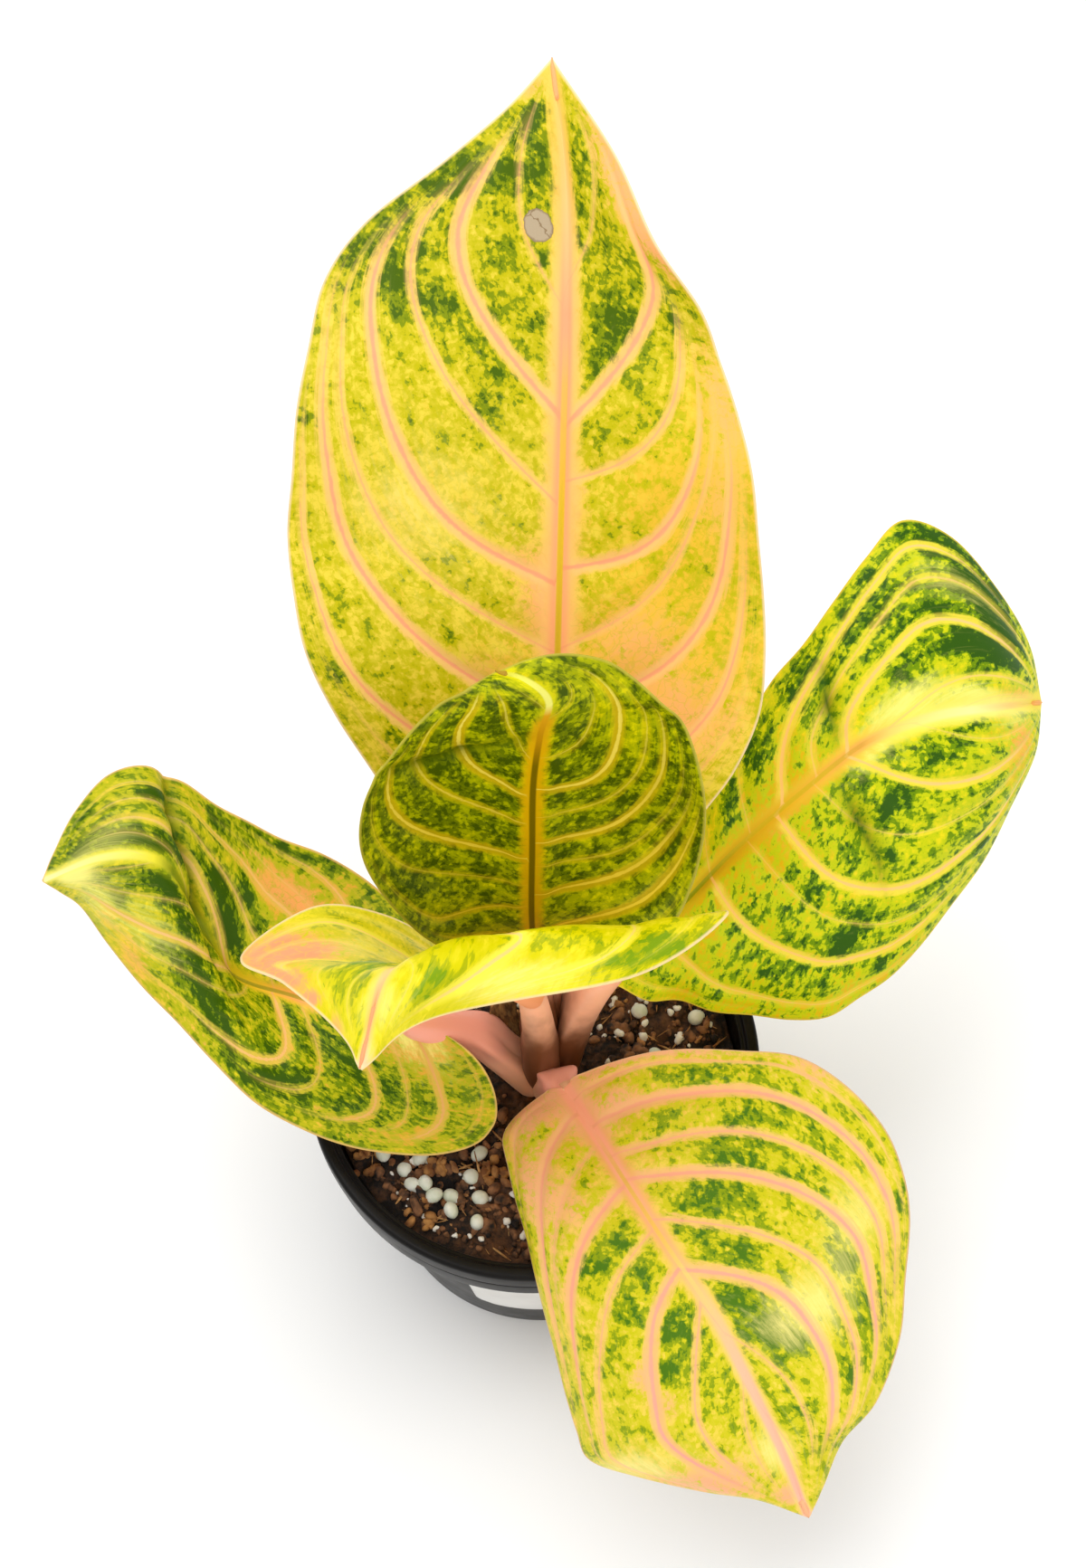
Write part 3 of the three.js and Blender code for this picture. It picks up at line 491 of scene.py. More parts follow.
        # from about 0.5 to 0.7 of the length the midrib runs in the fold, and its glow, band and groove are painted
        # dark green there as painted shade
        "glow": [(0, "#f4ea64", 0.9), (0.25, "#f4c45c", 0.9), (0.4, "#e4cc20", 0.7), (0.55, "#8c9a10", 0.4),
            (0.7, "#a8b41c", 0.4), (0.78, "#e6de30", 0.5), (1, "#f6f080", 0.7)],
        "rib": [(0, "#f8f264", 1), (0.18, "#f8e85c", 1), (0.27, "#fcac64", 1), (0.35, "#edc435", 1),
            (0.45, "#d8cb10", 1), (0.52, "#8e9a14", 0.8), (0.68, "#6e7e0a", 0.8), (0.74, "#f0e43c", 0.9),
            (0.85, "#f8f080", 0.9), (1, "#fdf8a8", 1)],
        "groove": [(0, "#c8b83c", 0), (0.28, "#a0961c", 0.8), (0.5, "#78820c", 0.8), (0.7, "#6e7e0a", 0)],
        "ribWide": (2.4, 0.9), "grooveWide": 0.8, "glowWide": (5, 2.6), "crisp": 0.5, "veinBase": 0.85,
        "greenLevel": 0.38, "spread": 1.05, "ragged": 3, "seed": 35,
    },
    "low": {
        "midrib": [(7, -14, 95), (13, -26, 98), (21, -42, 100), (29, -56, 98), (37, -68, 93), (44, -81, 85),
            (51, -94, 74), (57, -106, 60)],
        "left": [(14, -8, 96), (25, -7.5, 96), (36, -7, 96), (49, -7.5, 94.5), (62, -8.5, 92),
            (72.5, -14.5, 89), (81, -24.5, 86), (84.5, -35, 84), (85, -45.5, 82), (82.5, -59, 79),
            (79.9, -71.6, 75.9), (73.5, -84.2, 71.9), (65.4, -91.6, 67.9), (60.6, -100, 64)],
        "right": [(-3.5, -13.5, 88), (-7.5, -21.5, 87.5), (-6.5, -30, 87), (-5, -38, 86), (-3, -46, 84),
            (-1.5, -54, 82), (0.2, -62, 79), (2.2, -70, 75), (4, -78, 70), (6.2, -85.5, 64.5), (8.8, -91, 60),
            (19.5, -95, 59), (34, -99, 59), (46, -101.5, 59.5)],
        "archLeft": [0, 3, 4, 4, 4, 4, 3, 0], "archRight": [0, 5, 8, 9, 9, 8, 4, 0],
        "veinsLeft": [(5, 5, 10, 50, 1.4), (14, 10, 36, 55, 2.2), (21, 19, 40, 60, 1.3), (26, 30, 40, 65, 2.1),
            (35, 41, 45, 70, 1.2), (47, 38, 120, 60, 2.3), (62, 50, 140, 60, 0.9), (78, 60, 140, 60, 0.8)],
        "veinsRight": [(2, 5, 10, 30, 1), (9, 18, 25, 30, 2.2), (18, 17, 22, 40, 0.9), (27, 17, 20, 50, 2.2),
            (37, 17, 34, 60, 1.1), (46, 20, 320, 50, 2.1), (53, 60, 340, 50, 1.2), (70, 70, 340, 50, 0.8)],
        "greenSpots": [(15, 60, 2, 13, 50), (19, -63, 5, 11, 35), (22, 32, 3, 12, 40), (22, 94, 3, 18, 40),
            (23, -30, 3, 9, 50), (28, -81, 6, 13, 35), (32, -64, 5, 17, 30), (35, -36, 6, 19, 30),
            (36, 22, 3, 12, 50), (38, 81, 4, 13, 40), (39, -23, 5, 17, 35), (39, 45, 3, 12, 80),
            (43, 17, 3, 7, 45), (47, 33, 4, 12, 30), (49, -18, 5, 18, 40), (54, -94, 2, 4, 90),
            (55, -57, 5, 7, 60), (55, 16, 5, 9, 55), (57, -12, 3, 8, 60), (59, -64, 3, 9, 50),
            (60, -90, 3, 7, 45), (61, 32, 3, 6, 60), (64, -20, 4, 18, 80), (66, -79, 4, 7, 55),
            (66, -64, 5, 14, 25), (66, 24, 4, 9, 30), (67, -31, 3, 9, 50), (69, 92, 3, 14, 30),
            (74, -62, 2, 10, 40), (78, -4, 7, 20, 25), (79, -35, 3, 10, 50), (79, 33, 1, 4, 80),
            (86, 22, 4, 20, 25)],
        "blushSpots": [(0, 71, 8, 80, 80), (2, -100, 8, 80, 80), (9, 51, 7, 29, 40), (13, 0, 6, 21, 70),
            (15, -100, 9, 18, 60), (15, -31, 5, 14, 50), (23, 64, 9, 27, 60), (27, -4, 7, 16, 30),
            (29, 36, 6, 16, 35), (32, -96, 5, 17, 50), (39, 70, 7, 17, 40), (53, -88, 8, 7, 20),
            (60, 42, 4, 10, 60), (64, 99, 3, 21, 30), (67, 38, 3, 11, 45), (84, 67, 6, 45, 80),
            (94, 23, 3, 32, 70)],
        "warmSpots": [(7, 41, 20, 69, 50), (21, -59, 10, 31, 30)],
        "paleSpots": [(53, -69, 6, 17, 40), (63, -39, 6, 27, 50), (75, 81, 5, 33, 50), (85, 2, 5, 22, 50)],
        "creases": [],
        "colours": {"ground": "#efd04c", "warm": "#eeb450", "pale": "#fdec8c", "lime": "#ccc414",
            "green": "#8a9c08", "dark": "#4c7410", "halo": "#f6b880", "vein": "#f4a87c", "veinTip": "#fda898",
            "margin": "#f6c490", "blush": "#f6b080"},
        "glow": [(0, "#fbb488", 0.9), (0.25, "#f4b468", 0.7), (0.5, "#fbc878", 0.7), (1, "#fbd488", 0.6)],
        "rib": [(0, "#ffae8c", 1), (0.15, "#ffb08c", 1), (0.25, "#fab088", 1), (0.4, "#fab674", 1),
            (0.55, "#fdc680", 1), (0.7, "#fdbc98", 1), (1, "#fdb49c", 1)],
        "groove": [(0.15, "#e8b848", 0), (0.25, "#e4b83c", 0.7), (0.38, "#f0c448", 0.7), (0.48, "#fcd670", 0.6),
            (0.6, "#fcd078", 0)],
        "ribWide": (2, 1.1), "grooveWide": 0.6, "glowWide": (4.4, 2.2), "crisp": 0.4, "veinBase": 1,
        "greenLevel": 0.28, "spread": 1, "ragged": 3, "seed": 43,
    },
}


def bladeSurface(blade, s, t):
    # middle surface of the blade as rows by columns of points
    tip = blade["midrib"][-1]
    midrib = alongCurve(blade["midrib"], s)
    ahead = aheadOn(blade["midrib"], s, nudge=0.004)
    opening = np.sqrt(1 - np.clip(1 - s / sheet["roundBase"], 0, 1) ** 2)
    surface = np.zeros((len(s), len(t), 3))
    for side, sign in (("Left", -1), ("Right", 1)):
        across = alongCurve([*blade[side.lower()], tip], s) - midrib
        up = unit(np.cross(across, ahead)) * sign
        # the margins meet at the tip, so the last rows have no direction across of their own
        up[-3:] = up[-4]
        arch = alongCurve([[a] for a in blade["arch" + side]], s)[:, 0] * opening
        u = np.abs(t)
        half = (midrib[:, None] + across[:, None] * (opening[:, None] * u)[..., None]
                + up[:, None] * (4 * arch[:, None] * u * (1 - u))[..., None])
        here = t < 0 if sign < 0 else t >= 0
        surface[:, here] = half[:, here]
    return surface


def veinPhase(veins, s, u):
    # counts the veins from base to tip, so whole numbers lie on veins
    lines = [start + lift * u + curl * u ** 4 + hook * u ** 16 for start, lift, curl, hook, _ in np.array(veins) / 100]
    lines = [lines[0] - sheet["beforeFirst"], *lines, lines[-1] + sheet["afterLast"]]
    return sum(np.clip((s - low) / (high - low), 0, 1) for low, high in zip(lines, lines[1:]))


def softSpots(spots, s, t):
    total = np.zeros(np.broadcast(s, t).shape)
    for atS, atT, sizeS, sizeT, strength in np.array(spots) / 100:
        total += strength * np.exp(-((s - atS) / sizeS) ** 2 - ((t - atT) / sizeT) ** 2)
    return total


def surfaceMeasures(surface, gridT):
    # slopes, normals and distances in mm: from the midrib, along it and from the nearest margin
    alongS = np.gradient(surface, axis=0)
    alongT = np.gradient(surface, axis=1)
    normal = unit(np.cross(alongT, alongS))
    # base and tip are points, so the rows next to them take the third row's normals
    normal[:2] = normal[2]
    normal[-2:] = normal[-3]
    middle = gridT.shape[1] // 2
    steps = np.linalg.norm(np.diff(surface, axis=1), axis=2)
    measured = np.concatenate([np.zeros((len(surface), 1)), np.cumsum(steps, axis=1)], axis=1)
    across = measured - measured[:, middle:middle + 1]
    toMargin = np.where(gridT < 0, measured, measured[:, -1:] - measured)
    marginRun = np.where(gridT[..., None] < 0, alongS[:, :1], alongS[:, -1:])
    slant = np.linalg.norm(np.cross(unit(marginRun), unit(alongT)), axis=2)
    edge = toMargin * np.maximum(slant, 0.3)
    runSteps = np.linalg.norm(np.diff(surface[:, middle], axis=0), axis=1)
    run = np.concatenate([[0], np.cumsum(runSteps)])[:, None] + 0 * gridT
    return alongS, alongT, normal, across, edge, run


def bladeFields(blade, s, t):
    # places of the blade's middle surface, its normals, the values that its material reads and its creases
    surface = bladeSurface(blade, s, t)
    gridS, gridT = np.meshgrid(s, t, indexing="ij")
    alongS, alongT, normal, across, edge, run = surfaceMeasures(surface, gridT)

    # side veins: their count, the distance from one to the next and their width here
    phases, widths = [], []
    for side in ("Left", "Right"):
        veins = blade["veins" + side]
        phases.append(veinPhase(veins, gridS, np.abs(gridT)))
        widths.append([0, *(vein[4] for vein in veins), 0])
    phase = np.where(gridT < 0, *phases)
    veinWidth = np.where(gridT < 0, *(np.interp(phase, np.arange(len(row)), row) for row in widths))
    phaseS = np.gradient(phase, axis=0)
    phaseT = np.gradient(phase, axis=1)
    ss, tt, st = ((a * b).sum(axis=2) for a, b in ((alongS, alongS), (alongT, alongT), (alongS, alongT)))
    rate = (phaseS ** 2 * tt - 2 * phaseS * phaseT * st + phaseT ** 2 * ss) / np.maximum(ss * tt - st ** 2, 1e-6)
    spacing = np.clip(1 / np.sqrt(np.maximum(rate, 1e-6)), 0.5, 60)
    nearRib = np.abs(across)
    fromBase = blade["veinBase"] + (1 - blade["veinBase"]) * smoothStep(*sheet["veinBaseReach"], nearRib)
    toEdge = 0.5 + 0.5 * smoothStep(*sheet["veinThins"], edge)
    fineVein = sheet["faint"] + (1 - sheet["faint"]) * smoothStep(*sheet["faintWidths"], veinWidth)
    apart = smoothStep(*sheet["faintSpacings"], spacing)
    fields = {
        "vein": phase,
        "spacing": spacing,
        "haloWide": sheet["haloLeast"] + sheet["haloShare"] * veinWidth,
        "coreWide": sheet["coreShare"] * veinWidth * fromBase * toEdge,
        "veinShow": fineVein * apart * smoothStep(*sheet["veinEnds"], edge),
        "across": across,
        "run": run,
        "edge": edge,
        "along": gridS,
        "rib": nearRib / np.interp(gridS, [0, 1], blade["ribWide"]),
        "glow": nearRib / np.interp(gridS, [0, 1], blade["glowWide"]),
        "groove": nearRib / blade["grooveWide"],
        **{name: softSpots(blade[name + "Spots"], gridS, gridT) for name in ("green", "blush", "warm", "pale")},
    }
    fields["green"] = blade["greenLevel"] + fields["green"]
    if "drySpot" in blade:
        atS, atT, wide, high = blade["drySpot"]
        row = np.abs(s - atS / 100).argmin()
        column = np.abs(t - atT / 100).argmin()
        fields["dry"] = 1 - np.hypot((across - across[row, column]) / wide, (run - run[row, column]) / high)

    # creases: sharp in the relief, softer in the painted shade along them, and let out over a short way beyond both
    # ends
    letOut = sheet["creaseOut"]
    creases = np.zeros(gridT.shape)
    fields["crease"] = np.zeros(gridT.shape)
    for crease in blade["creases"]:
        atT, atS, depth = np.array(crease["line"]).T
        away = (gridS - np.interp(gridT, atT, atS)) * run.max()
        fade = np.interp(gridT, [atT[0] - letOut, *atT, atT[-1] + letOut], [0, *depth, 0])
        creases += fade * np.exp(-np.sqrt(away ** 2 + sheet["creaseRound"]) / crease["width"])
        # painted shade: the fold's darkness laid into the colour, strongest on the crease's line
        fields["crease"] += fade / depth.max() * np.exp(-np.abs(away) / sheet["creaseShadeReach"])
    return surface, normal, fields, creases


def bladeRelief(fields, creases):
    # puffed between the veins, with a groove along each of them and a deeper one over the midrib
    fromVein = np.abs(fields["vein"] - np.round(fields["vein"])) * fields["spacing"]
    room = smoothStep(*sheet["puffEdge"], fields["edge"])
    nearRib = np.abs(fields["across"])
    openness = np.minimum(fields["spacing"] / sheet["puffSpacing"], 1)
    puff = sheet["puff"] * np.sin(np.pi * fields["vein"]) ** 2 * openness
    veinWide = np.minimum(fields["coreWide"], sheet["widestVein"])
    groove = sheet["veinGroove"] * veinWide * bell(fromVein, sheet["veinReach"])
    relief = (puff - groove) * room * smoothStep(*sheet["puffRib"], nearRib) - creases
    ribFade = (1 - sheet["ribLoss"] * fields["along"]) * smoothStep(0, sheet["ribEnd"], 1 - fields["along"])
    return (relief - sheet["ribGroove"] * ribFade * bell(nearRib, sheet["ribReach"])
            + sheet["bank"] * ribFade * bell(nearRib - sheet["bankAt"], sheet["bankReach"]))


def makeBlade(key, blade, materials):
    outline = bladeSurface(blade, np.linspace(0, 1, 60), np.array([-1.0, 0.0, 1.0]))
    longest = np.linalg.norm(np.diff(outline[:, 1], axis=0), axis=1).sum()
    widest = np.linalg.norm(outline[:, 0] - outline[:, 2], axis=1).max()
    rows = int(longest * sheet["alongMore"] / sheet["cell"])
    columns = 2 * int(widest / 2 * sheet["acrossMore"] / sheet["cell"])
    # rows stand closer together at base and tip
    even = np.linspace(0, 1, rows + 1)
    s = 0.6 * even + 0.4 * (0.5 - 0.5 * np.cos(np.pi * even))
    t = np.linspace(-1, 1, columns + 1)
    surface, normal, fields, creases = bladeFields(blade, s, t)
    top = surface + normal * (0.5 * sheet["thickness"] + bladeRelief(fields, creases))[..., None]
    toTip = smoothStep(0, sheet["keelEnd"], 1 - fields["along"])
    lower = 1 - sheet["keelLoss"] * fields["along"]
    keel = sheet["keelHeight"] * lower * toTip * bell(fields["across"], sheet["keelReach"])
    inward = smoothStep(0, sheet["marginReach"], fields["edge"])
    thick = sheet["marginThickness"] + (sheet["thickness"] - sheet["marginThickness"]) * inward + keel
    most = float(thick.max())

    bm = bmesh.new()
    bmesh.ops.create_grid(bm, x_segments=columns, y_segments=rows, size=1)
    layers = {name: bm.verts.layers.float.new(name) for name in fields}
    weights = bm.verts.layers.deform.verify()
    for vert, row, column in numbered(bm, rows, columns):
        for name, layer in layers.items():
            vert[layer] = float(fields[name][row, column])
        vert[weights][0] = float(thick[row, column] / most)
        vert.co = Vector(top[row, column]) * mm
    bmesh.ops.remove_doubles(bm, verts=bm.verts[:], dist=1e-6)
    piece = addPiece("blade_" + key, bm, materials, ["leaf_" + key])
    piece.vertex_groups.new(name="thickness")
    solid = piece.modifiers.new("leafThickness", "SOLIDIFY")
    solid.thickness = most * mm
    solid.offset = -1
    solid.vertex_group = "thickness"
    solid.material_offset = 1
    solid.material_offset_rim = 0
    print("blade", key, rows, "rows", columns, "columns")


def bladeMaterial(key, blade):
    # Aglaonema blade, living leaf with a waxy skin: satin, with paint broken up cell by cell between the veins,
    # painted shade along its folds and painted sheen in some pale places
    material, tree = startMaterial("aglaonemaBladeWaxy" + key.capitalize())
    names = ["vein", "spacing", "haloWide", "coreWide", "veinShow", "across", "run", "edge", "along", "rib", "glow",
             "groove", "green", "blush", "warm", "pale", "crease"]
    read = {name: addNode(tree, "Attribute", {"attribute_name": name}, take="Fac") for name in names}
    tint = blade["colours"]

    # the noises read mm on the blade, so their forms are 1 / scale mm wide: clouds 13 mm, patches 3 mm, fine 0.5 mm,
    # leaf cells 1 mm, and dots 2 mm and a net of 3 mm whose places wander. The grain is 1.6 mm in a frame that is
    # drawn out along the veins: 13 units from one vein to the next and half a unit to each mm across the blade
    flat = addNode(tree, "CombineXYZ", {"Z": blade["seed"]}, {"X": read["across"], "Y": read["run"]})
    byVein = addNode(tree, "CombineXYZ", {"Z": blade["seed"]}, {"X": read["vein"], "Y": read["across"]})
    byVein = addNode(tree, "Mapping", {"Scale": (13, 0.5, 1)}, {"Vector": byVein})
    clouds, patches, fine, grain = (
        addNode(tree, "TexNoise", {"Scale": scale, "Detail": detail, "Roughness": rough}, {"Vector": place})
        for scale, detail, rough, place in ((0.075, 3, 0.6, flat), (0.3, 3, 0.6, flat), (1.9, 2, 0.6, flat),
                                            (0.62, 6, 0.75, byVein)))
    cells = addNode(tree, "TexVoronoi", {"Scale": 1.0}, {"Vector": flat}, "Color")
    wander = addNode(tree, "TexNoise", {"Scale": 0.5, "Detail": 3}, {"Vector": flat}, "Color")
    wander = addNode(tree, "VectorMath", {"operation": "MULTIPLY_ADD", 1: (3, 3, 0)}, {0: wander, 2: flat})
    dots = addNode(tree, "TexVoronoi", {"Scale": 0.5}, {"Vector": wander}, "Distance")
    net = addNode(tree, "TexVoronoi", {"feature": "DISTANCE_TO_EDGE", "Scale": 0.34}, {"Vector": wander})

    # distance to the nearest side vein: torn by the grain for the clear ground beside it, and for its own line in
    # shares of a width that the patches make uneven
    fold = addNode(tree, "Math", {"operation": "PINGPONG", 1: 0.5}, {0: read["vein"]})
    fromVein = addNode(tree, "Math", {"operation": "MULTIPLY"}, {0: fold, 1: read["spacing"]})
    ragged = addNode(tree, "Math", {"operation": "MULTIPLY_ADD", 1: blade["ragged"]}, {0: grain, 2: fromVein})
    ragged = addNode(tree, "Math", {"operation": "SUBTRACT", 1: blade["ragged"] / 2}, {0: ragged})
    ragged = addNode(tree, "Math", {"operation": "DIVIDE"}, {0: ragged, 1: read["haloWide"]})
    uneven = addNode(tree, "MapRange", {"From Min": 0.35, "From Max": 0.65, "To Min": 0.65, "To Max": 1.15},
                     {"Value": patches})
    coreWide = addNode(tree, "Math", {"operation": "MULTIPLY"}, {0: read["coreWide"], 1: uneven})
    core = addNode(tree, "Math", {"operation": "DIVIDE"}, {0: fromVein, 1: coreWide})
    core = addNode(tree, "Math", {"operation": "MULTIPLY_ADD", 1: 0.25}, {0: grain, 2: core})
    feather = addNode(tree, "Math", {"operation": "MULTIPLY_ADD", 1: 0.8}, {0: grain, 2: read["glow"]})

    # each of these is full up to its first distance and gone at its second
    crisp = blade["crisp"]
    dots, halo, core, glow, band, groove = (
        addNode(tree, "MapRange", {**fading, "From Min": full, "From Max": gone}, {"Value": source})
        for source, full, gone in ((dots, 0.12, 0.42), (ragged, 0.35, 1.1),
                                   (core, 0.2 + 0.14 * crisp, 0.56 - 0.08 * crisp), (feather, 0.7, 1.45),
                                   (read["rib"], 0.45, 1.3), (read["groove"], 0.55, 1.1)))
    halo, core = (addNode(tree, "Math", {"operation": "MULTIPLY"}, {0: share, 1: read["veinShow"]})
                  for share in (halo, core))
    haloShare = addNode(tree, "Math", {"operation": "MULTIPLY", 1: 0.78}, {0: halo})

    # midrib: feathered glow, band and groove, each with its own colours from base to tip
    ribLayers = []
    for share, stops in ((glow, blade["glow"]), (band, blade["rib"]), (groove, blade["groove"])):
        ribColour = addNode(tree, "ValToRGB", {"stops": stops}, {"Fac": read["along"]})
        strength = ribColour.node.outputs["Alpha"]
        ribLayers.append((addNode(tree, "Math", {"operation": "MULTIPLY"}, {0: share, 1: strength}), ribColour))
    glowLayer, bandLayer, grooveLayer = ribLayers

    # green paint: how much of it there is, broken up by the noises and kept off veins, blush and the pale places,
    # which are partly painted sheen
    clear = addNode(tree, "Math", {"operation": "MAXIMUM"}, {0: halo, 1: glow})
    spread = blade["spread"]
    field = addNode(tree, "Math", {"operation": "SUBTRACT", 1: 2.18 * spread}, {0: read["green"]})
    for source, strength in ((grain, 1.1 * spread), (cells, 0.5 * spread), (fine, 0.35 * spread),
                             (patches, 1.5 * spread), (clouds, 0.9 * spread), (dots, -0.35), (clear, -0.7),
                             (read["blush"], -0.9), (read["warm"], -0.2), (read["pale"], -0.6)):
        field = addNode(tree, "Math", {"operation": "MULTIPLY_ADD", 1: strength}, {0: source, 2: field})
    lime, green, dark = (
        addNode(tree, "MapRange", {**soft, "From Min": low, "From Max": high}, {"Value": field})
        for low, high in ((-0.35, 0.28), (0.3, 0.52), (0.62, 0.82)))

    # warm and blushed places, pale places that are partly the leaf's own and partly painted sheen, the net of fine
    # lines and the rim
    warmth = addNode(tree, "Math", {"operation": "ADD"}, {0: patches, 1: read["warm"]})
    warmth = addNode(tree, "MapRange", {**soft, "From Min": 0.45, "From Max": 0.85}, {"Value": warmth})
    torn = [addNode(tree, "Math", {"operation": "MULTIPLY_ADD", 1: 0.9}, {0: grain, 2: read[name]})
            for name in ("blush", "pale")]
    blushed, paleAndSheenShare = (addNode(tree, "MapRange", {**soft, "From Min": 0.5, "From Max": 1.2}, {"Value": value})
                      for value in torn)
    netLine, rim = (
        addNode(tree, "MapRange", {**fading, "From Min": full, "From Max": gone, "To Min": most}, {"Value": source})
        for source, full, gone, most in ((net, 0, 0.07, 0.35), (read["edge"], 0.1, 0.7, 0.9)))
    veinColour = addNode(tree, "MixRGB", {"Color1": tint["vein"], "Color2": tint["veinTip"]}, {"Fac": read["along"]})

    # the layers of colour, each over those before it; the crease layer lays the dark green along the folds as painted
    # shade
    colour = tint["ground"]
    for share, layer in ((warmth, tint["warm"]), (blushed, tint["blush"]), (netLine, tint["lime"]),
                         (lime, tint["lime"]), (green, tint["green"]), (dark, tint["dark"]), (paleAndSheenShare, tint["pale"]),
                         (haloShare, tint["halo"]), glowLayer, bandLayer, (core, veinColour), grooveLayer,
                         (read["crease"], tint["dark"]), (rim, tint["margin"])):
        colour = addNode(tree, "MixRGB", {}, {"Fac": share, "Color1": colour, "Color2": layer})

    if "drySpot" in blade:
        # a dead spot, papery grey with a brown edge and a few cracks about 6 mm apart
        dry = addNode(tree, "Attribute", {"attribute_name": "dry"}, take="Fac")
        dry = addNode(tree, "Math", {"operation": "MULTIPLY_ADD", 1: 0.5}, {0: patches, 2: dry})
        inside = addNode(tree, "MapRange", {"From Min": 0.3, "From Max": 0.34}, {"Value": dry})
        cracks = addNode(tree, "TexVoronoi", {"feature": "DISTANCE_TO_EDGE", "Scale": 0.16}, {"Vector": wander})
        cracked, brownEdge = (
            addNode(tree, "MapRange", {"From Min": full, "From Max": gone, "To Min": 0.8, "To Max": 0},
                    {"Value": source})
            for source, full, gone in ((cracks, 0.005, 0.04), (dry, 0.32, 0.46)))
        mark = addNode(tree, "Math", {"operation": "MAXIMUM"}, {0: cracked, 1: brownEdge})
        paper = addNode(tree, "MixRGB", {"Color1": "#b4a184", "Color2": "#7a5f3c"}, {"Fac": mark})
        colour = addNode(tree, "MixRGB", {}, {"Fac": inside, "Color1": colour, "Color2": paper})

    bump = addNode(tree, "Bump", {"Strength": 0.12, "Distance": 0.4 * mm}, {"Height": grain})
    finishMaterial(tree, {"Roughness": 0.4, "IOR": 1.42, "Specular IOR Level": 0.12},
                   {"Base Color": colour, "Normal": bump})
    return material


def underMaterialOf(key, blade):
    # back of the same blade: no wax, paler and matter, with the paint showing through weakly in patches of 2 mm
    material, tree = startMaterial("aglaonemaBladeUnderside" + key.capitalize())
    names = ["vein", "spacing", "coreWide", "across", "run", "green", "blush"]
    read = {name: addNode(tree, "Attribute", {"attribute_name": name}, take="Fac") for name in names}
    flat = addNode(tree, "CombineXYZ", {"Z": blade["seed"]}, {"X": read["across"], "Y": read["run"]})
    patches = addNode(tree, "TexNoise", {"Scale": 0.45, "Detail": 6, "Roughness": 0.7}, {"Vector": flat})
    paint = addNode(tree, "Math", {"operation": "MULTIPLY_ADD", 1: 2}, {0: patches, 2: read["green"]})
    paint = addNode(tree, "MapRange", {**soft, "From Min": 1.1, "From Max": 1.9, "To Max": 0.7}, {"Value": paint})
    fold = addNode(tree, "Math", {"operation": "PINGPONG", 1: 0.5}, {0: read["vein"]})
    fromVein = addNode(tree, "Math", {"operation": "MULTIPLY"}, {0: fold, 1: read["spacing"]})
    veinLine = addNode(tree, "Math", {"operation": "DIVIDE"}, {0: fromVein, 1: read["coreWide"]})
    nearRib = addNode(tree, "Math", {"operation": "ABSOLUTE"}, {0: read["across"]})
    veinLine, rib = (
        addNode(tree, "MapRange", {**fading, "From Min": full, "From Max": gone, "To Min": most}, {"Value": source})
        for source, full, gone, most in ((veinLine, 0.2, 0.8, 0.8), (nearRib, 1.5, 3.2, 1)))
    colour = blade["colours"]["ground"]
    for share, name in ((paint, "green"), (veinLine, "vein"), (rib, "blush"), (read["blush"], "blush")):
        colour = addNode(tree, "MixRGB", {"Color2": blade["colours"][name]}, {"Fac": share, "Color1": colour})
    finishMaterial(tree, {"Roughness": 0.6, "IOR": 1.42}, {"Base Color": colour})
    return material


for key, blade in blades.items():
    makeBlade(key, blade, [bladeMaterial(key, blade), underMaterialOf(key, blade)])
print("blades ready")

# Cane: radius, height and rounding of each corner, from the foot in the mix up to the scarred top
cane = {"x": 3, "y": 0, "sides": 40,
        "profile": [(0, 38, 0), (5.6, 38, 0.6), (6.1, 60, 0.5), (6.3, 70, 0.5), (6.0, 71, 0.3), (6.2, 73.5, 0.5),
                    (5.7, 74.3, 0.3), (5.7, 77.5, 1), (4.6, 80, 1.2), (0, 80, 0)]}

# Stalks: the route from the cane up to the blade, then on along the back of the midrib, with the half-width at both
# ends, where the clasping sheath ends as a share of the route, the side that faces the cane, and how far up the brown
# of the foot is moved
stalks = {
    "back": {"route": [[3, 2, 72], [3, 5, 90], [3, 11, 107], [5, 16, 120], [5.6, 20, 128]],
             "wide": [5.2, 3.0], "sheath": 0.6, "inward": [0, -1, 0.2], "brown": 0.3},
    "young": {"route": [[2, 1, 74], [2, 3, 90], [2, 7, 105], [2, 9.3, 117], [2, 9, 127]],
              "wide": [4.6, 2.8], "sheath": 0.5, "inward": [0, -1, 0.1], "brown": 0.36},
    "front": {"route": [[2, -2, 72], [2, -4, 88], [2, -3, 104], [1, -0.6, 117], [0.6, -3, 127]],
              "wide": [4.8, 3.0], "sheath": 0.5, "inward": [0, 1, 0.2], "brown": 0.36},
    "right": {"route": [[5, 1, 72], [8, 2, 86], [12, 4, 99], [18, 6, 110.5], [27, 11, 115]],
              "wide": [6.0, 3.4], "sheath": 0.62, "inward": [-1, 0, 0.5], "brown": 0.28},
    "left": {"route": [[1, -2, 72], [-6, -1, 85], [-14, 0, 97], [-24, -2, 106], [-32, 1, 104]],
             "wide": [5.6, 3.6], "sheath": 0.62, "inward": [0.6, 0, 1], "brown": -0.3},
    "low": {"route": [[4, -4, 73], [5, -7, 81], [6, -10, 88], [7, -14, 90.5], [11, -21, 92]],
            "wide": [5.2, 3.6], "sheath": 0.7, "inward": [0, 0.6, 1], "brown": -0.3},
}

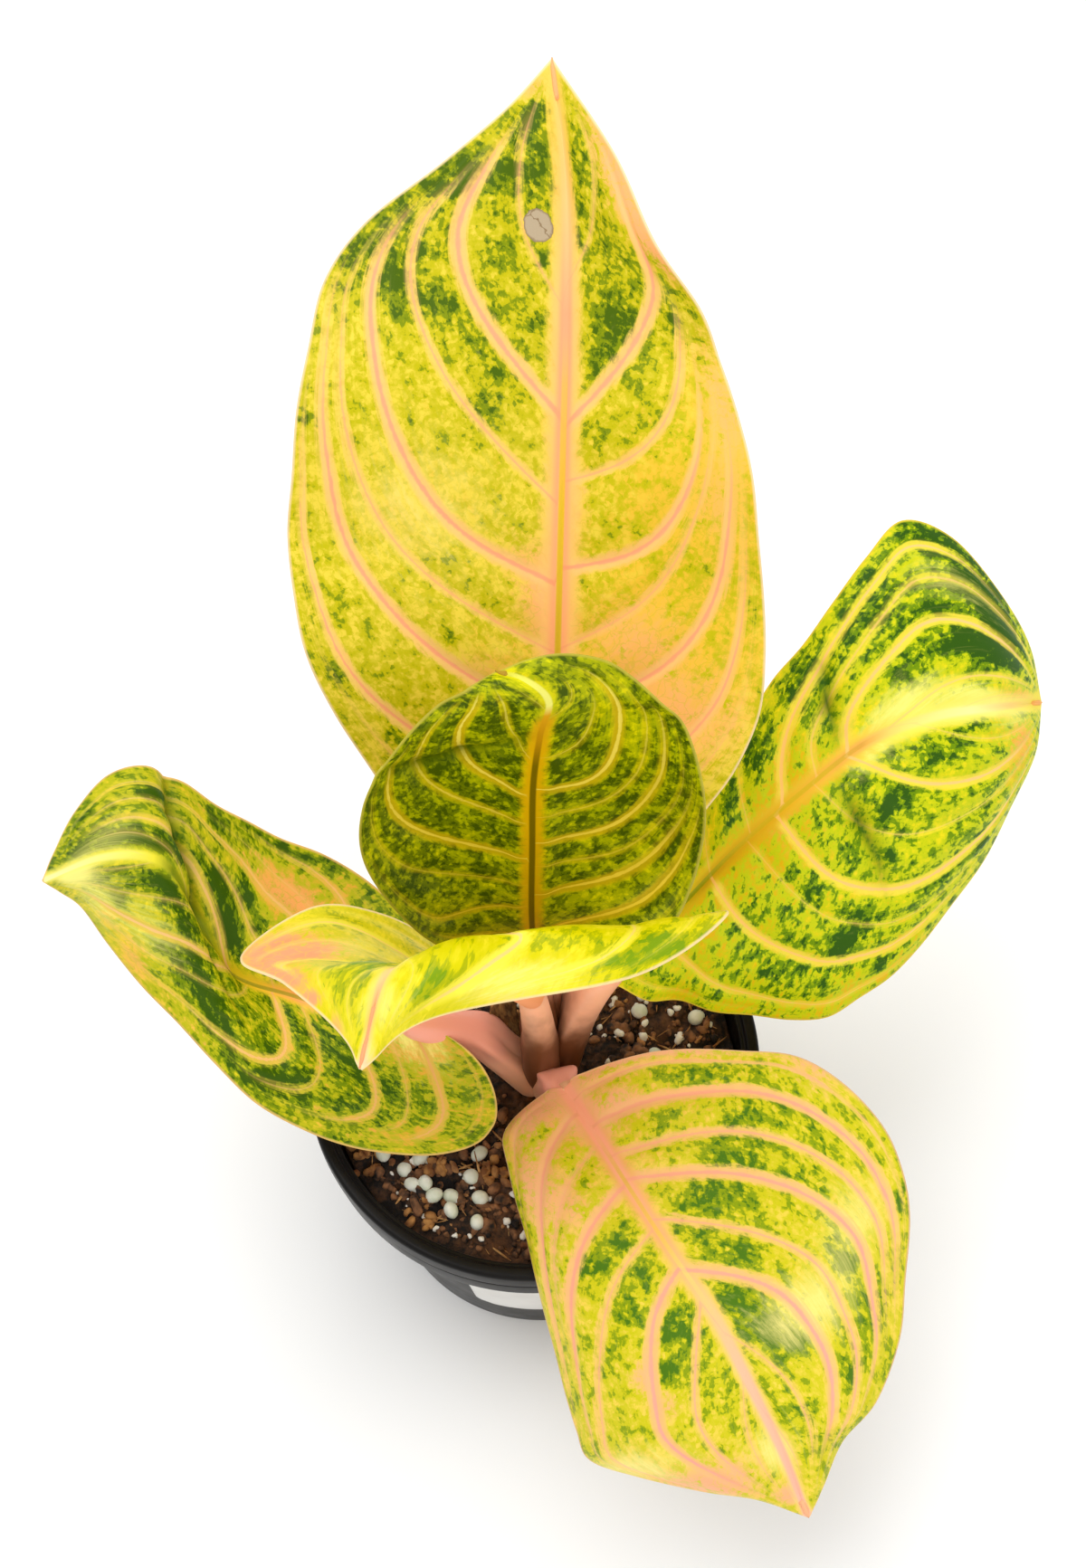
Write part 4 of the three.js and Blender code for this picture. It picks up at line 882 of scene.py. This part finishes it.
# Their cross-section, in shares of the width unless it says otherwise; the second number is added inside the sheath
stalkShape = {
    "rings": 34, "sides": 36,
    "sheathShare": 0.8, "sheathFade": (0.25, 0.02),  # its end in shares of the given one, and how it fades out there
    "channel": (0.12, 0.5),  # depth of the channel on the inner side
    "channelSpread": (0.45, 0.35),  # its half-width in radians
    "wing": 0.12, "wingAt": 1.0, "wingSpread": 0.24,  # edges of the sheath, their angle and half-width in radians
    "shoulder": 0.3, "shoulderBack": 0.06, "shoulderReach": 0.1,  # they end in a shoulder just before the sheath's end
    "thinFrom": 0.8, "thinning": 0.65,  # from this share of the route the stalk runs out into the midrib
}


def ringsThrough(bm, places, layer, values):
    # closed rings of vertices, skinned into a tube with a cap at both ends
    rings = []
    for ring, value in zip(places, values):
        verts = [bm.verts.new(Vector(p) * mm) for p in ring]
        for vert in verts:
            vert[layer] = value
        rings.append([bm.edges.new((a, b)) for a, b in zip(verts, verts[1:] + verts[:1])])
    for low, high in zip(rings, rings[1:]):
        bmesh.ops.bridge_loops(bm, edges=low + high)
    bmesh.ops.holes_fill(bm, edges=rings[0] + rings[-1], sides=0)
    bmesh.ops.recalc_face_normals(bm, faces=bm.faces[:])


def makeStalk(key, plan, material):
    s = np.linspace(0, 1, stalkShape["rings"])
    middle = alongCurve(plan["route"], s)
    ahead = unit(aheadOn(plan["route"], s, nudge=0.01))
    inward = np.array(plan["inward"], float)
    inner = unit(inward - (ahead @ inward)[:, None] * ahead)
    beside = np.cross(ahead, inner)
    angle = np.linspace(-np.pi, np.pi, stalkShape["sides"], endpoint=False)
    sheathEnd = plan["sheath"] * stalkShape["sheathShare"]
    before, beyond = stalkShape["sheathFade"]
    clasp = 1 - smoothStep(sheathEnd - before, sheathEnd + beyond, s)
    shoulder = bell(s - sheathEnd + stalkShape["shoulderBack"], stalkShape["shoulderReach"])
    thinFrom = stalkShape["thinFrom"]
    width = plan["wide"][0] + (plan["wide"][1] - plan["wide"][0]) * np.clip(s / thinFrom, 0, 1) ** 1.5
    width = width * (1 - stalkShape["thinning"] * smoothStep(thinFrom, 1, s))
    channel, spread = (bare + more * clasp for bare, more in (stalkShape["channel"], stalkShape["channelSpread"]))
    wings = stalkShape["wing"] * clasp + stalkShape["shoulder"] * shoulder
    places = []
    for k in range(len(s)):
        radius = width[k] * (1 - channel[k] * bell(angle, spread[k])
                             + wings[k] * bell(np.abs(angle) - stalkShape["wingAt"], stalkShape["wingSpread"]))
        places.append(middle[k] + np.outer(radius * np.cos(angle), inner[k])
                      + np.outer(radius * np.sin(angle), beside[k]))
    bm = bmesh.new()
    layer = bm.verts.layers.float.new("along")
    ringsThrough(bm, places, layer, s - plan["brown"])
    replaced = ["stem"] if key == "back" else []
    piece = addPiece("stalk_" + key, bm, [material], replaced)
    smooth = piece.modifiers.new("softer", "SUBSURF")
    smooth.levels = 1
    smooth.render_levels = 1


def roundedLine(profile, steps=5):
    # the profile's corners turned into short arcs: each entry is radius, height and rounding
    points = [Vector((r, z)) for r, z, rounding in profile]
    line = [points[0]]
    for before, corner, after, (_, _, rounding) in zip(points, points[1:], points[2:], profile[1:]):
        into = before - corner
        out = after - corner
        reach = min(rounding, into.length * 0.45, out.length * 0.45)
        start = corner + into.normalized() * reach
        end = corner + out.normalized() * reach
        for k in range(steps + 1):
            f = k / steps
            line.append((1 - f) ** 2 * start + 2 * f * (1 - f) * corner + f * f * end)
    line.append(points[-1])
    return line


def spunProfile(profile, sides):
    bm = spun(roundedLine(profile), sides)
    bmesh.ops.recalc_face_normals(bm, faces=bm.faces[:])
    return bm


def stalkMaterial():
    # Aglaonema petiole, living and waxy: peach pink with a rosy top and a brown foot, blotched at 6 mm
    material, tree = startMaterial("aglaonemaStalkWaxy")
    along = addNode(tree, "Attribute", {"attribute_name": "along"}, take="Fac")
    where = addNode(tree, "TexCoord", take="Object")
    blotch = addNode(tree, "TexNoise", {"Scale": 160, "Detail": 4}, {"Vector": where})
    place = addNode(tree, "Math", {"operation": "MULTIPLY_ADD", 1: 0.25}, {0: blotch, 2: along})
    foot = addNode(tree, "MapRange", {**fading, "From Min": 0.16, "From Max": 0.5}, {"Value": place})
    rosy = addNode(tree, "MapRange", {**soft, "From Min": 0.55, "From Max": 1.0}, {"Value": place})
    colour = addNode(tree, "MixRGB", {"Color1": "#fcb890", "Color2": "#fca890"}, {"Fac": rosy})
    colour = addNode(tree, "MixRGB", {"Color2": "#6c3d1f"}, {"Fac": foot, "Color1": colour})
    finishMaterial(tree, {"Roughness": 0.42, "IOR": 1.45, "Subsurface Weight": 0.15,
                          "Subsurface Radius": (0.004, 0.0015, 0.001)}, {"Base Color": colour})
    return material


def makeStem():
    stalkSkin = stalkMaterial()
    for key, plan in stalks.items():
        makeStalk(key, plan, stalkSkin)
    bm = spunProfile(cane["profile"], cane["sides"])
    bmesh.ops.translate(bm, verts=bm.verts[:], vec=(cane["x"] * mm, cane["y"] * mm, 0))
    # Aglaonema cane, living bark with leaf scars: olive brown and dry at the foot, blotched at 2.5 mm
    bark = mottledMaterial("aglaonemaCaneScarred", ("#4a3420", "#7d5a34"), 400, 0.75, span=(0, 1), detail=5, bump=0.5,
                           depth=0.5)
    addPiece("cane", bm, [bark])


makeStem()
print("stem ready")

# Pot: radius, height and rounding of each corner, up the outside, over the rim and down the inside. wall is the
# straight part of the outside, as radius and height of its foot and of its top
pot = {
    "profile": [(0, 0, 0), (41, 0, 1.2), (50, 66, 0.8), (54.2, 66.6, 1.2), (54.4, 72.4, 0.9), (53.7, 73.3, 0.5),
                (55, 74.6, 0.9), (55, 80, 1.7), (52.1, 80, 1.2), (51.8, 78.6, 0.5), (50.6, 78.6, 0.7),
                (50.2, 72, 1.5), (48.9, 65, 1), (39.9, 3, 1.2), (38.7, 1.8, 0.5), (0, 1.8, 0)],
    "wall": ((41, 1.2), (50, 66)),
    "sides": 160,
    "floor": 1.8,
    "drainHoles": 6,
    "drainRadius": 3.5,
    "drainCircle": 30,
    "drainDepth": 8,
    "sharpFrom": 50,  # degrees between two faces
}

# turn is in degrees, from the front towards the right
label = {"width": 42, "bottom": 22, "top": 62, "corner": 4, "turn": 6, "thickness": 0.3, "gap": 0.3,
         "columns": 48, "rows": 30}


def bakeModifiers(piece):
    # swaps the mesh for what its modifiers make of it
    shown = piece.evaluated_get(bpy.context.evaluated_depsgraph_get())
    finished = bpy.data.meshes.new_from_object(shown)
    piece.modifiers.clear()
    piece.data = finished


def potMaterial():
    # polypropylene, injection moulded and black: a soft satin with fine scuffs and dust in clouds of 17 mm
    material, tree = startMaterial("polypropyleneMouldedBlack")
    where = addNode(tree, "TexCoord", take="Object")
    dust = addNode(tree, "TexNoise", {"Scale": 60, "Detail": 6, "Roughness": 0.65}, {"Vector": where})
    dustShare = addNode(tree, "MapRange", {"From Min": 0.5, "From Max": 0.8, "To Max": 0.25}, {"Value": dust})
    colour = addNode(tree, "MixRGB", {"Color1": "#131110", "Color2": "#352f2a"}, {"Fac": dustShare})
    rough = addNode(tree, "MapRange", {"From Min": 0.3, "From Max": 0.7, "To Min": 0.3, "To Max": 0.45},
                    {"Value": dust})
    bump = addNode(tree, "Bump", {"Strength": 0.06, "Distance": 0.3 * mm}, {"Height": dust})
    finishMaterial(tree, {"IOR": 1.49, "Specular IOR Level": 0.12},
                   {"Base Color": colour, "Roughness": rough, "Normal": bump})
    return material


def makePot():
    bm = spunProfile(pot["profile"], pot["sides"])
    piece = addPiece("pot_moulded", bm, [potMaterial()], ["pot"])
    holes = bmesh.new()
    upward = pot["floor"] / 2 / pot["drainCircle"]
    for k in range(pot["drainHoles"]):
        angle = 2 * math.pi * (k + 0.5) / pot["drainHoles"]
        place = Matrix.Translation(Vector((math.cos(angle), math.sin(angle), upward)) * pot["drainCircle"] * mm)
        bmesh.ops.create_cone(holes, cap_ends=True, segments=32, radius1=pot["drainRadius"] * mm,
                              radius2=pot["drainRadius"] * mm, depth=pot["drainDepth"] * mm, matrix=place)
    cutter = addObject("drainHoles", meshOf(holes, "drainHoles"))
    cut = piece.modifiers.new("drainHoles", "BOOLEAN")
    cut.object = cutter
    cut.operation = "DIFFERENCE"
    bpy.context.view_layer.update()
    bakeModifiers(piece)
    piece.data.shade_smooth()
    piece.data.set_sharp_from_angle(angle=math.radians(pot["sharpFrom"]))
    bpy.data.objects.remove(cutter)


def makeLabel():
    (footRadius, footHeight), (neckRadius, neckHeight) = pot["wall"]
    bm = bmesh.new()
    bmesh.ops.create_grid(bm, x_segments=label["columns"], y_segments=label["rows"], size=0.5)
    for vert in bm.verts:
        z = label["bottom"] + (label["top"] - label["bottom"]) * (vert.co.y + 0.5)
        edge = max(0, label["corner"] - min(z - label["bottom"], label["top"] - z))
        inset = label["corner"] - math.sqrt(max(0, label["corner"] ** 2 - edge ** 2))
        wall = footRadius + (neckRadius - footRadius) * (z - footHeight) / (neckHeight - footHeight)
        radius = wall + label["gap"] + label["thickness"]
        angle = vert.co.x * (label["width"] - 2 * inset) / footRadius + math.radians(label["turn"])
        vert.co = Vector((radius * math.sin(angle), -radius * math.cos(angle), z)) * mm
    # coated paper, printed white with nothing on it: smooth, with slightly grey wear in clouds of 11 mm
    paper = mottledMaterial("labelPaperCoated", ("#e9e8e4", "#cfccc6"), 90, 0.5, span=(0, 1), detail=5, bump=0)
    piece = addPiece("label_blank", bm, [paper], ["label"])
    solid = piece.modifiers.new("labelThickness", "SOLIDIFY")
    solid.thickness = (label["thickness"] + label["gap"]) * mm
    solid.offset = -1


makePot()
makeLabel()
print("pot ready")

# Potting mix: a lumpy top with a hole for the cane. under is the line below it, as radius and height
mix = {
    "height": 72, "wallRadius": 49.5, "holeRadius": 6.8, "holeFloor": 36, "rings": 90, "sides": 220,
    "under": [(39.4, 3.2), (38.4, 2.2), (0, 2.2)],
    "clods": 1.1, "crumbs": 0.4,  # heights of its rough forms, about 5 mm and 1 mm wide
    "crownReach": 22, "crownCalm": 0.6,  # around the cane the top is calmer
    "sag": 0.6, "sagAt": 50,  # and this much lower at this distance from the middle
    "looseFrom": 9, "looseOver": 38.5, "looseMargin": 2.2,  # where loose bits lie: from the cane out to the wall
}

# What lies on it. Each kind has its number, its least and greatest size, how jagged it is, how far it stands out of
# the mix as a share of its size, its stretch, and the real matter: name, two colours, pattern scale and roughness.
# The patterns are 3 mm wide at scale 300 to 350 and 2.5 mm at 400
loose = {
    "peat_crumbs": {"count": 1500, "low": 0.5, "high": 2.0, "seed": 11, "jag": 0.8, "rise": 0.15,
                    "stretch": (1, 0.8, 0.7), "matter": ("peatCrumbsDamp", ("#1a110c", "#9c6a44"), 300, 0.9)},
    "perlite": {"count": 260, "low": 0.4, "high": 1.5, "seed": 5, "jag": 0.6, "rise": 0.35,
                "stretch": (1, 0.85, 0.75), "matter": ("perliteExpanded", ("#ece4d6", "#fbf8f0"), 400, 0.8)},
    "coir_fibres": {"count": 260, "low": 0.5, "high": 1.5, "seed": 17, "jag": 0.3, "rise": 0.5,
                    "stretch": (3.2, 0.22, 0.22), "matter": ("coirFibreDry", ("#8a5526", "#d2a468"), 300, 0.85)},
    "bark_fines": {"count": 160, "low": 0.5, "high": 1.6, "seed": 23, "jag": 0.8, "rise": 0.3,
                   "stretch": (1.2, 0.8, 0.6), "matter": ("barkFinesDry", ("#6c3f1e", "#b98450"), 350, 0.85)},
}

# Prills of coated fertilizer with a pattern of 4 mm, and chips of broken bark, each a cluster of bits
prills = {
    "radius": 1.9, "rise": 1.3, "jag": 0.1, "stretch": [(0.95, 1.2), (0.88, 1), (0.85, 0.95)], "seed": 3,
    "matter": ("fertilizerPrillsCoated", ("#d6dcc4", "#f4f3e6"), 250, 0.5),
    "places": [(-32, -24), (-30, -28), (-27, -28), (-25, -31), (-21, -31), (-21, -35), (-15, -38), (-14, -32),
               (-16, -27), (-14, -21), (-28, -21), (-37, -20), (27, 14), (41, 12), (30, 2)],
}
barkChips = {
    "bits": 9, "scatter": 1.9, "low": 0.9, "high": 1.9, "rise": 0.6, "jag": 0.9, "stretch": (1, 0.75, 0.55), "seed": 8,
    "matter": ("barkChipsBroken", ("#7a4a22", "#c08a4c"), 350, 0.85),
    "places": [(-28, -37), (-23, -25), (-11, -25), (-41, -21), (20, 20), (33, 20), (-8, 30), (14, -22)],
}

grainMesh = bpy.data.meshes.new("grain")


def mixTop(x, y):
    # height of the mix: gentle lumps, flatter near the cane, and lower towards the wall
    lump = (0.8 * math.sin(0.31 * x + 1.3) * math.sin(0.27 * y + 0.4) + 0.6 * math.sin(0.55 * x - 0.35 * y)
            + 0.4 * math.sin(0.2 * x + 0.62 * y + 2))
    crown = max(0, 1 - math.hypot(x - cane["x"], y - cane["y"]) / mix["crownReach"])
    sag = mix["sag"] * (math.hypot(x, y) / mix["sagAt"]) ** 4
    return mix["height"] + lump * (1 - mix["crownCalm"] * crown) - sag


def mixMaterial():
    # potting mix of peat and coir, loose and damp: nearly black brown, with fibrous lighter grains of 2 mm in clods
    # of 11 mm
    material, tree = startMaterial("pottingMixPeatLoose")
    where = addNode(tree, "TexCoord", take="Object")
    grains = addNode(tree, "TexNoise", {"Scale": 500, "Detail": 6, "Roughness": 0.7}, {"Vector": where})
    clods = addNode(tree, "TexNoise", {"Scale": 90, "Detail": 3}, {"Vector": where})
    light = addNode(tree, "Math", {"operation": "MULTIPLY"}, {0: grains, 1: clods})
    share = addNode(tree, "MapRange", {"From Min": 0.2, "From Max": 0.42}, {"Value": light})
    colour = addNode(tree, "MixRGB", {"Color1": "#150e0b", "Color2": "#744c2e"}, {"Fac": share})
    bump = addNode(tree, "Bump", {"Strength": 0.8, "Distance": 1.2 * mm}, {"Height": grains})
    finishMaterial(tree, {"Roughness": 0.92}, {"Base Color": colour, "Normal": bump})
    return material


def makeMix():
    # the top is laid out at height 0 and lifted afterwards
    hole, rings = mix["holeRadius"], mix["rings"]
    inside = [(hole + (mix["wallRadius"] - hole) * k / rings, 0) for k in range(rings + 1)]
    bm = spun([(0, mix["holeFloor"]), (hole, mix["holeFloor"]), *inside, *mix["under"]], mix["sides"])
    for vert in bm.verts:
        x, y, z = vert.co / mm
        share = max(0, 1 - math.hypot(x, y) / mix["wallRadius"])
        if z > mix["holeFloor"] - 1 or z == 0:
            # the hole lies under the cane, a little beside the middle
            x += cane["x"] * min(1, share * 1.2)
        if z == 0:
            rough = noise.fractal(Vector((x, y, 0)) * 0.22, 0.8, 2.2, 5) * mix["clods"]
            z = mixTop(x, y) + rough + mix["crumbs"] * noise.noise(Vector((x, y, 7)) * 1.1)
        vert.co = Vector((x, y, z)) * mm
    bmesh.ops.recalc_face_normals(bm, faces=bm.faces[:])
    addPiece("potting_mix", bm, [mixMaterial()], ["soil"])


def addBit(bm, place, size, stretch, turn, jag, detail=2):
    # one rounded grain, pushed in and out by noise, shaped on its own and then joined to the rest
    grain = bmesh.new()
    bmesh.ops.create_icosphere(grain, subdivisions=detail, radius=size * mm)
    grain.transform(turn @ Matrix.Diagonal((*stretch, 1)))
    offset = Vector(place)
    for vert in grain.verts:
        push = noise.noise((vert.co / mm + offset) * 0.9 / max(size, 0.6))
        vert.co = vert.co * (1 + jag * push) + offset * mm
    grain.to_mesh(grainMesh)
    grain.free()
    bm.from_mesh(grainMesh)


def anyTurn(draw):
    first, second, third = (Matrix.Rotation(draw.uniform(0, 6.28), 4, axis) for axis in "ZXY")
    return first @ second @ third


def scatter(bm, plan, draw):
    for k in range(plan["count"]):
        angle = draw.uniform(0, 2 * math.pi)
        reach = mix["looseFrom"] + mix["looseOver"] * math.sqrt(draw.random())
        x = cane["x"] * 0.5 + reach * math.cos(angle)
        y = reach * math.sin(angle)
        if math.hypot(x, y) > mix["wallRadius"] - mix["looseMargin"]:
            continue
        size = plan["low"] + (plan["high"] - plan["low"]) * draw.random() ** 2.5
        place = (x, y, mixTop(x, y) + plan["rise"] * size)
        addBit(bm, place, size, plan["stretch"], anyTurn(draw), plan["jag"])


def layPrills(bm, plan, draw):
    for x, y in plan["places"]:
        stretch = tuple(draw.uniform(*span) for span in plan["stretch"])
        turn = Matrix.Rotation(draw.uniform(0, 3.14), 4, "Z")
        addBit(bm, (x, y, mixTop(x, y) + plan["rise"]), plan["radius"], stretch, turn, plan["jag"], detail=3)


def layBark(bm, plan, draw):
    for x, y in plan["places"]:
        for k in range(plan["bits"]):
            px = x + draw.gauss(0, plan["scatter"])
            py = y + draw.gauss(0, plan["scatter"])
            size = draw.uniform(plan["low"], plan["high"])
            addBit(bm, (px, py, mixTop(px, py) + plan["rise"]), size, plan["stretch"], anyTurn(draw), plan["jag"])


makeMix()
kinds = [(name, plan, scatter) for name, plan in loose.items()]
kinds += [("fertilizer_prills", prills, layPrills), ("bark_chips", barkChips, layBark)]
for name, plan, lay in kinds:
    bits = bmesh.new()
    lay(bits, plan, random.Random(plan["seed"]))
    addPiece(name, bits, [mottledMaterial(*plan["matter"])])
bpy.data.meshes.remove(grainMesh)
print("potting mix ready")

# Dry sheath: a torn strip of old leaf sheath that stands on the cane, laid out like a blade
drySheath = {
    "midrib": [[-2, 3, 76], [-5, 5, 86], [-6, 8, 97], [-4, 9, 106]],
    "left": [[0, 6, 77], [-3, 9, 87], [-3, 12, 98]],
    "right": [[-4, 0, 78], [-9, 2, 88], [-9, 5, 98]],
    "archLeft": [0, 0.5, 0.8, 0], "archRight": [0, 0.5, 0.8, 0],
    "rows": 40, "columns": 24, "thickness": 0.5,
    "crumple": [(0.5, 0.5), (0.25, 1.7)], "seed": 9,  # height of its folds, and how many there are to a mm
}


def makeDrySheath():
    rows, columns = drySheath["rows"], drySheath["columns"]
    # without a seed of its own noise_vector takes one from the clock
    noise.seed_set(drySheath["seed"])
    surface = bladeSurface(drySheath, np.linspace(0, 1, rows + 1), np.linspace(-1, 1, columns + 1))
    bm = bmesh.new()
    bmesh.ops.create_grid(bm, x_segments=columns, y_segments=rows, size=1)
    for vert, row, column in numbered(bm, rows, columns):
        place = Vector(surface[row, column])
        folds = [height * noise.noise_vector(place * perMm) for height, perMm in drySheath["crumple"]]
        vert.co = (place + sum(folds, Vector())) * mm
    bmesh.ops.remove_doubles(bm, verts=bm.verts[:], dist=1e-6)
    # dead leaf sheath, dry and papery: brown with darker fibres 0.8 mm wide, drawn out upwards
    papery = mottledMaterial("drySheathPapery", ("#6b4420", "#b98a4c"), 1200, 0.8, bump=0.6, stretch=(1, 1, 0.15))
    piece = addPiece("dry_sheath_torn", bm, [papery], ["dry_sheath"])
    solid = piece.modifiers.new("sheathThickness", "SOLIDIFY")
    solid.thickness = drySheath["thickness"] * mm
    solid.offset = 0


makeDrySheath()
print("dry sheath ready")
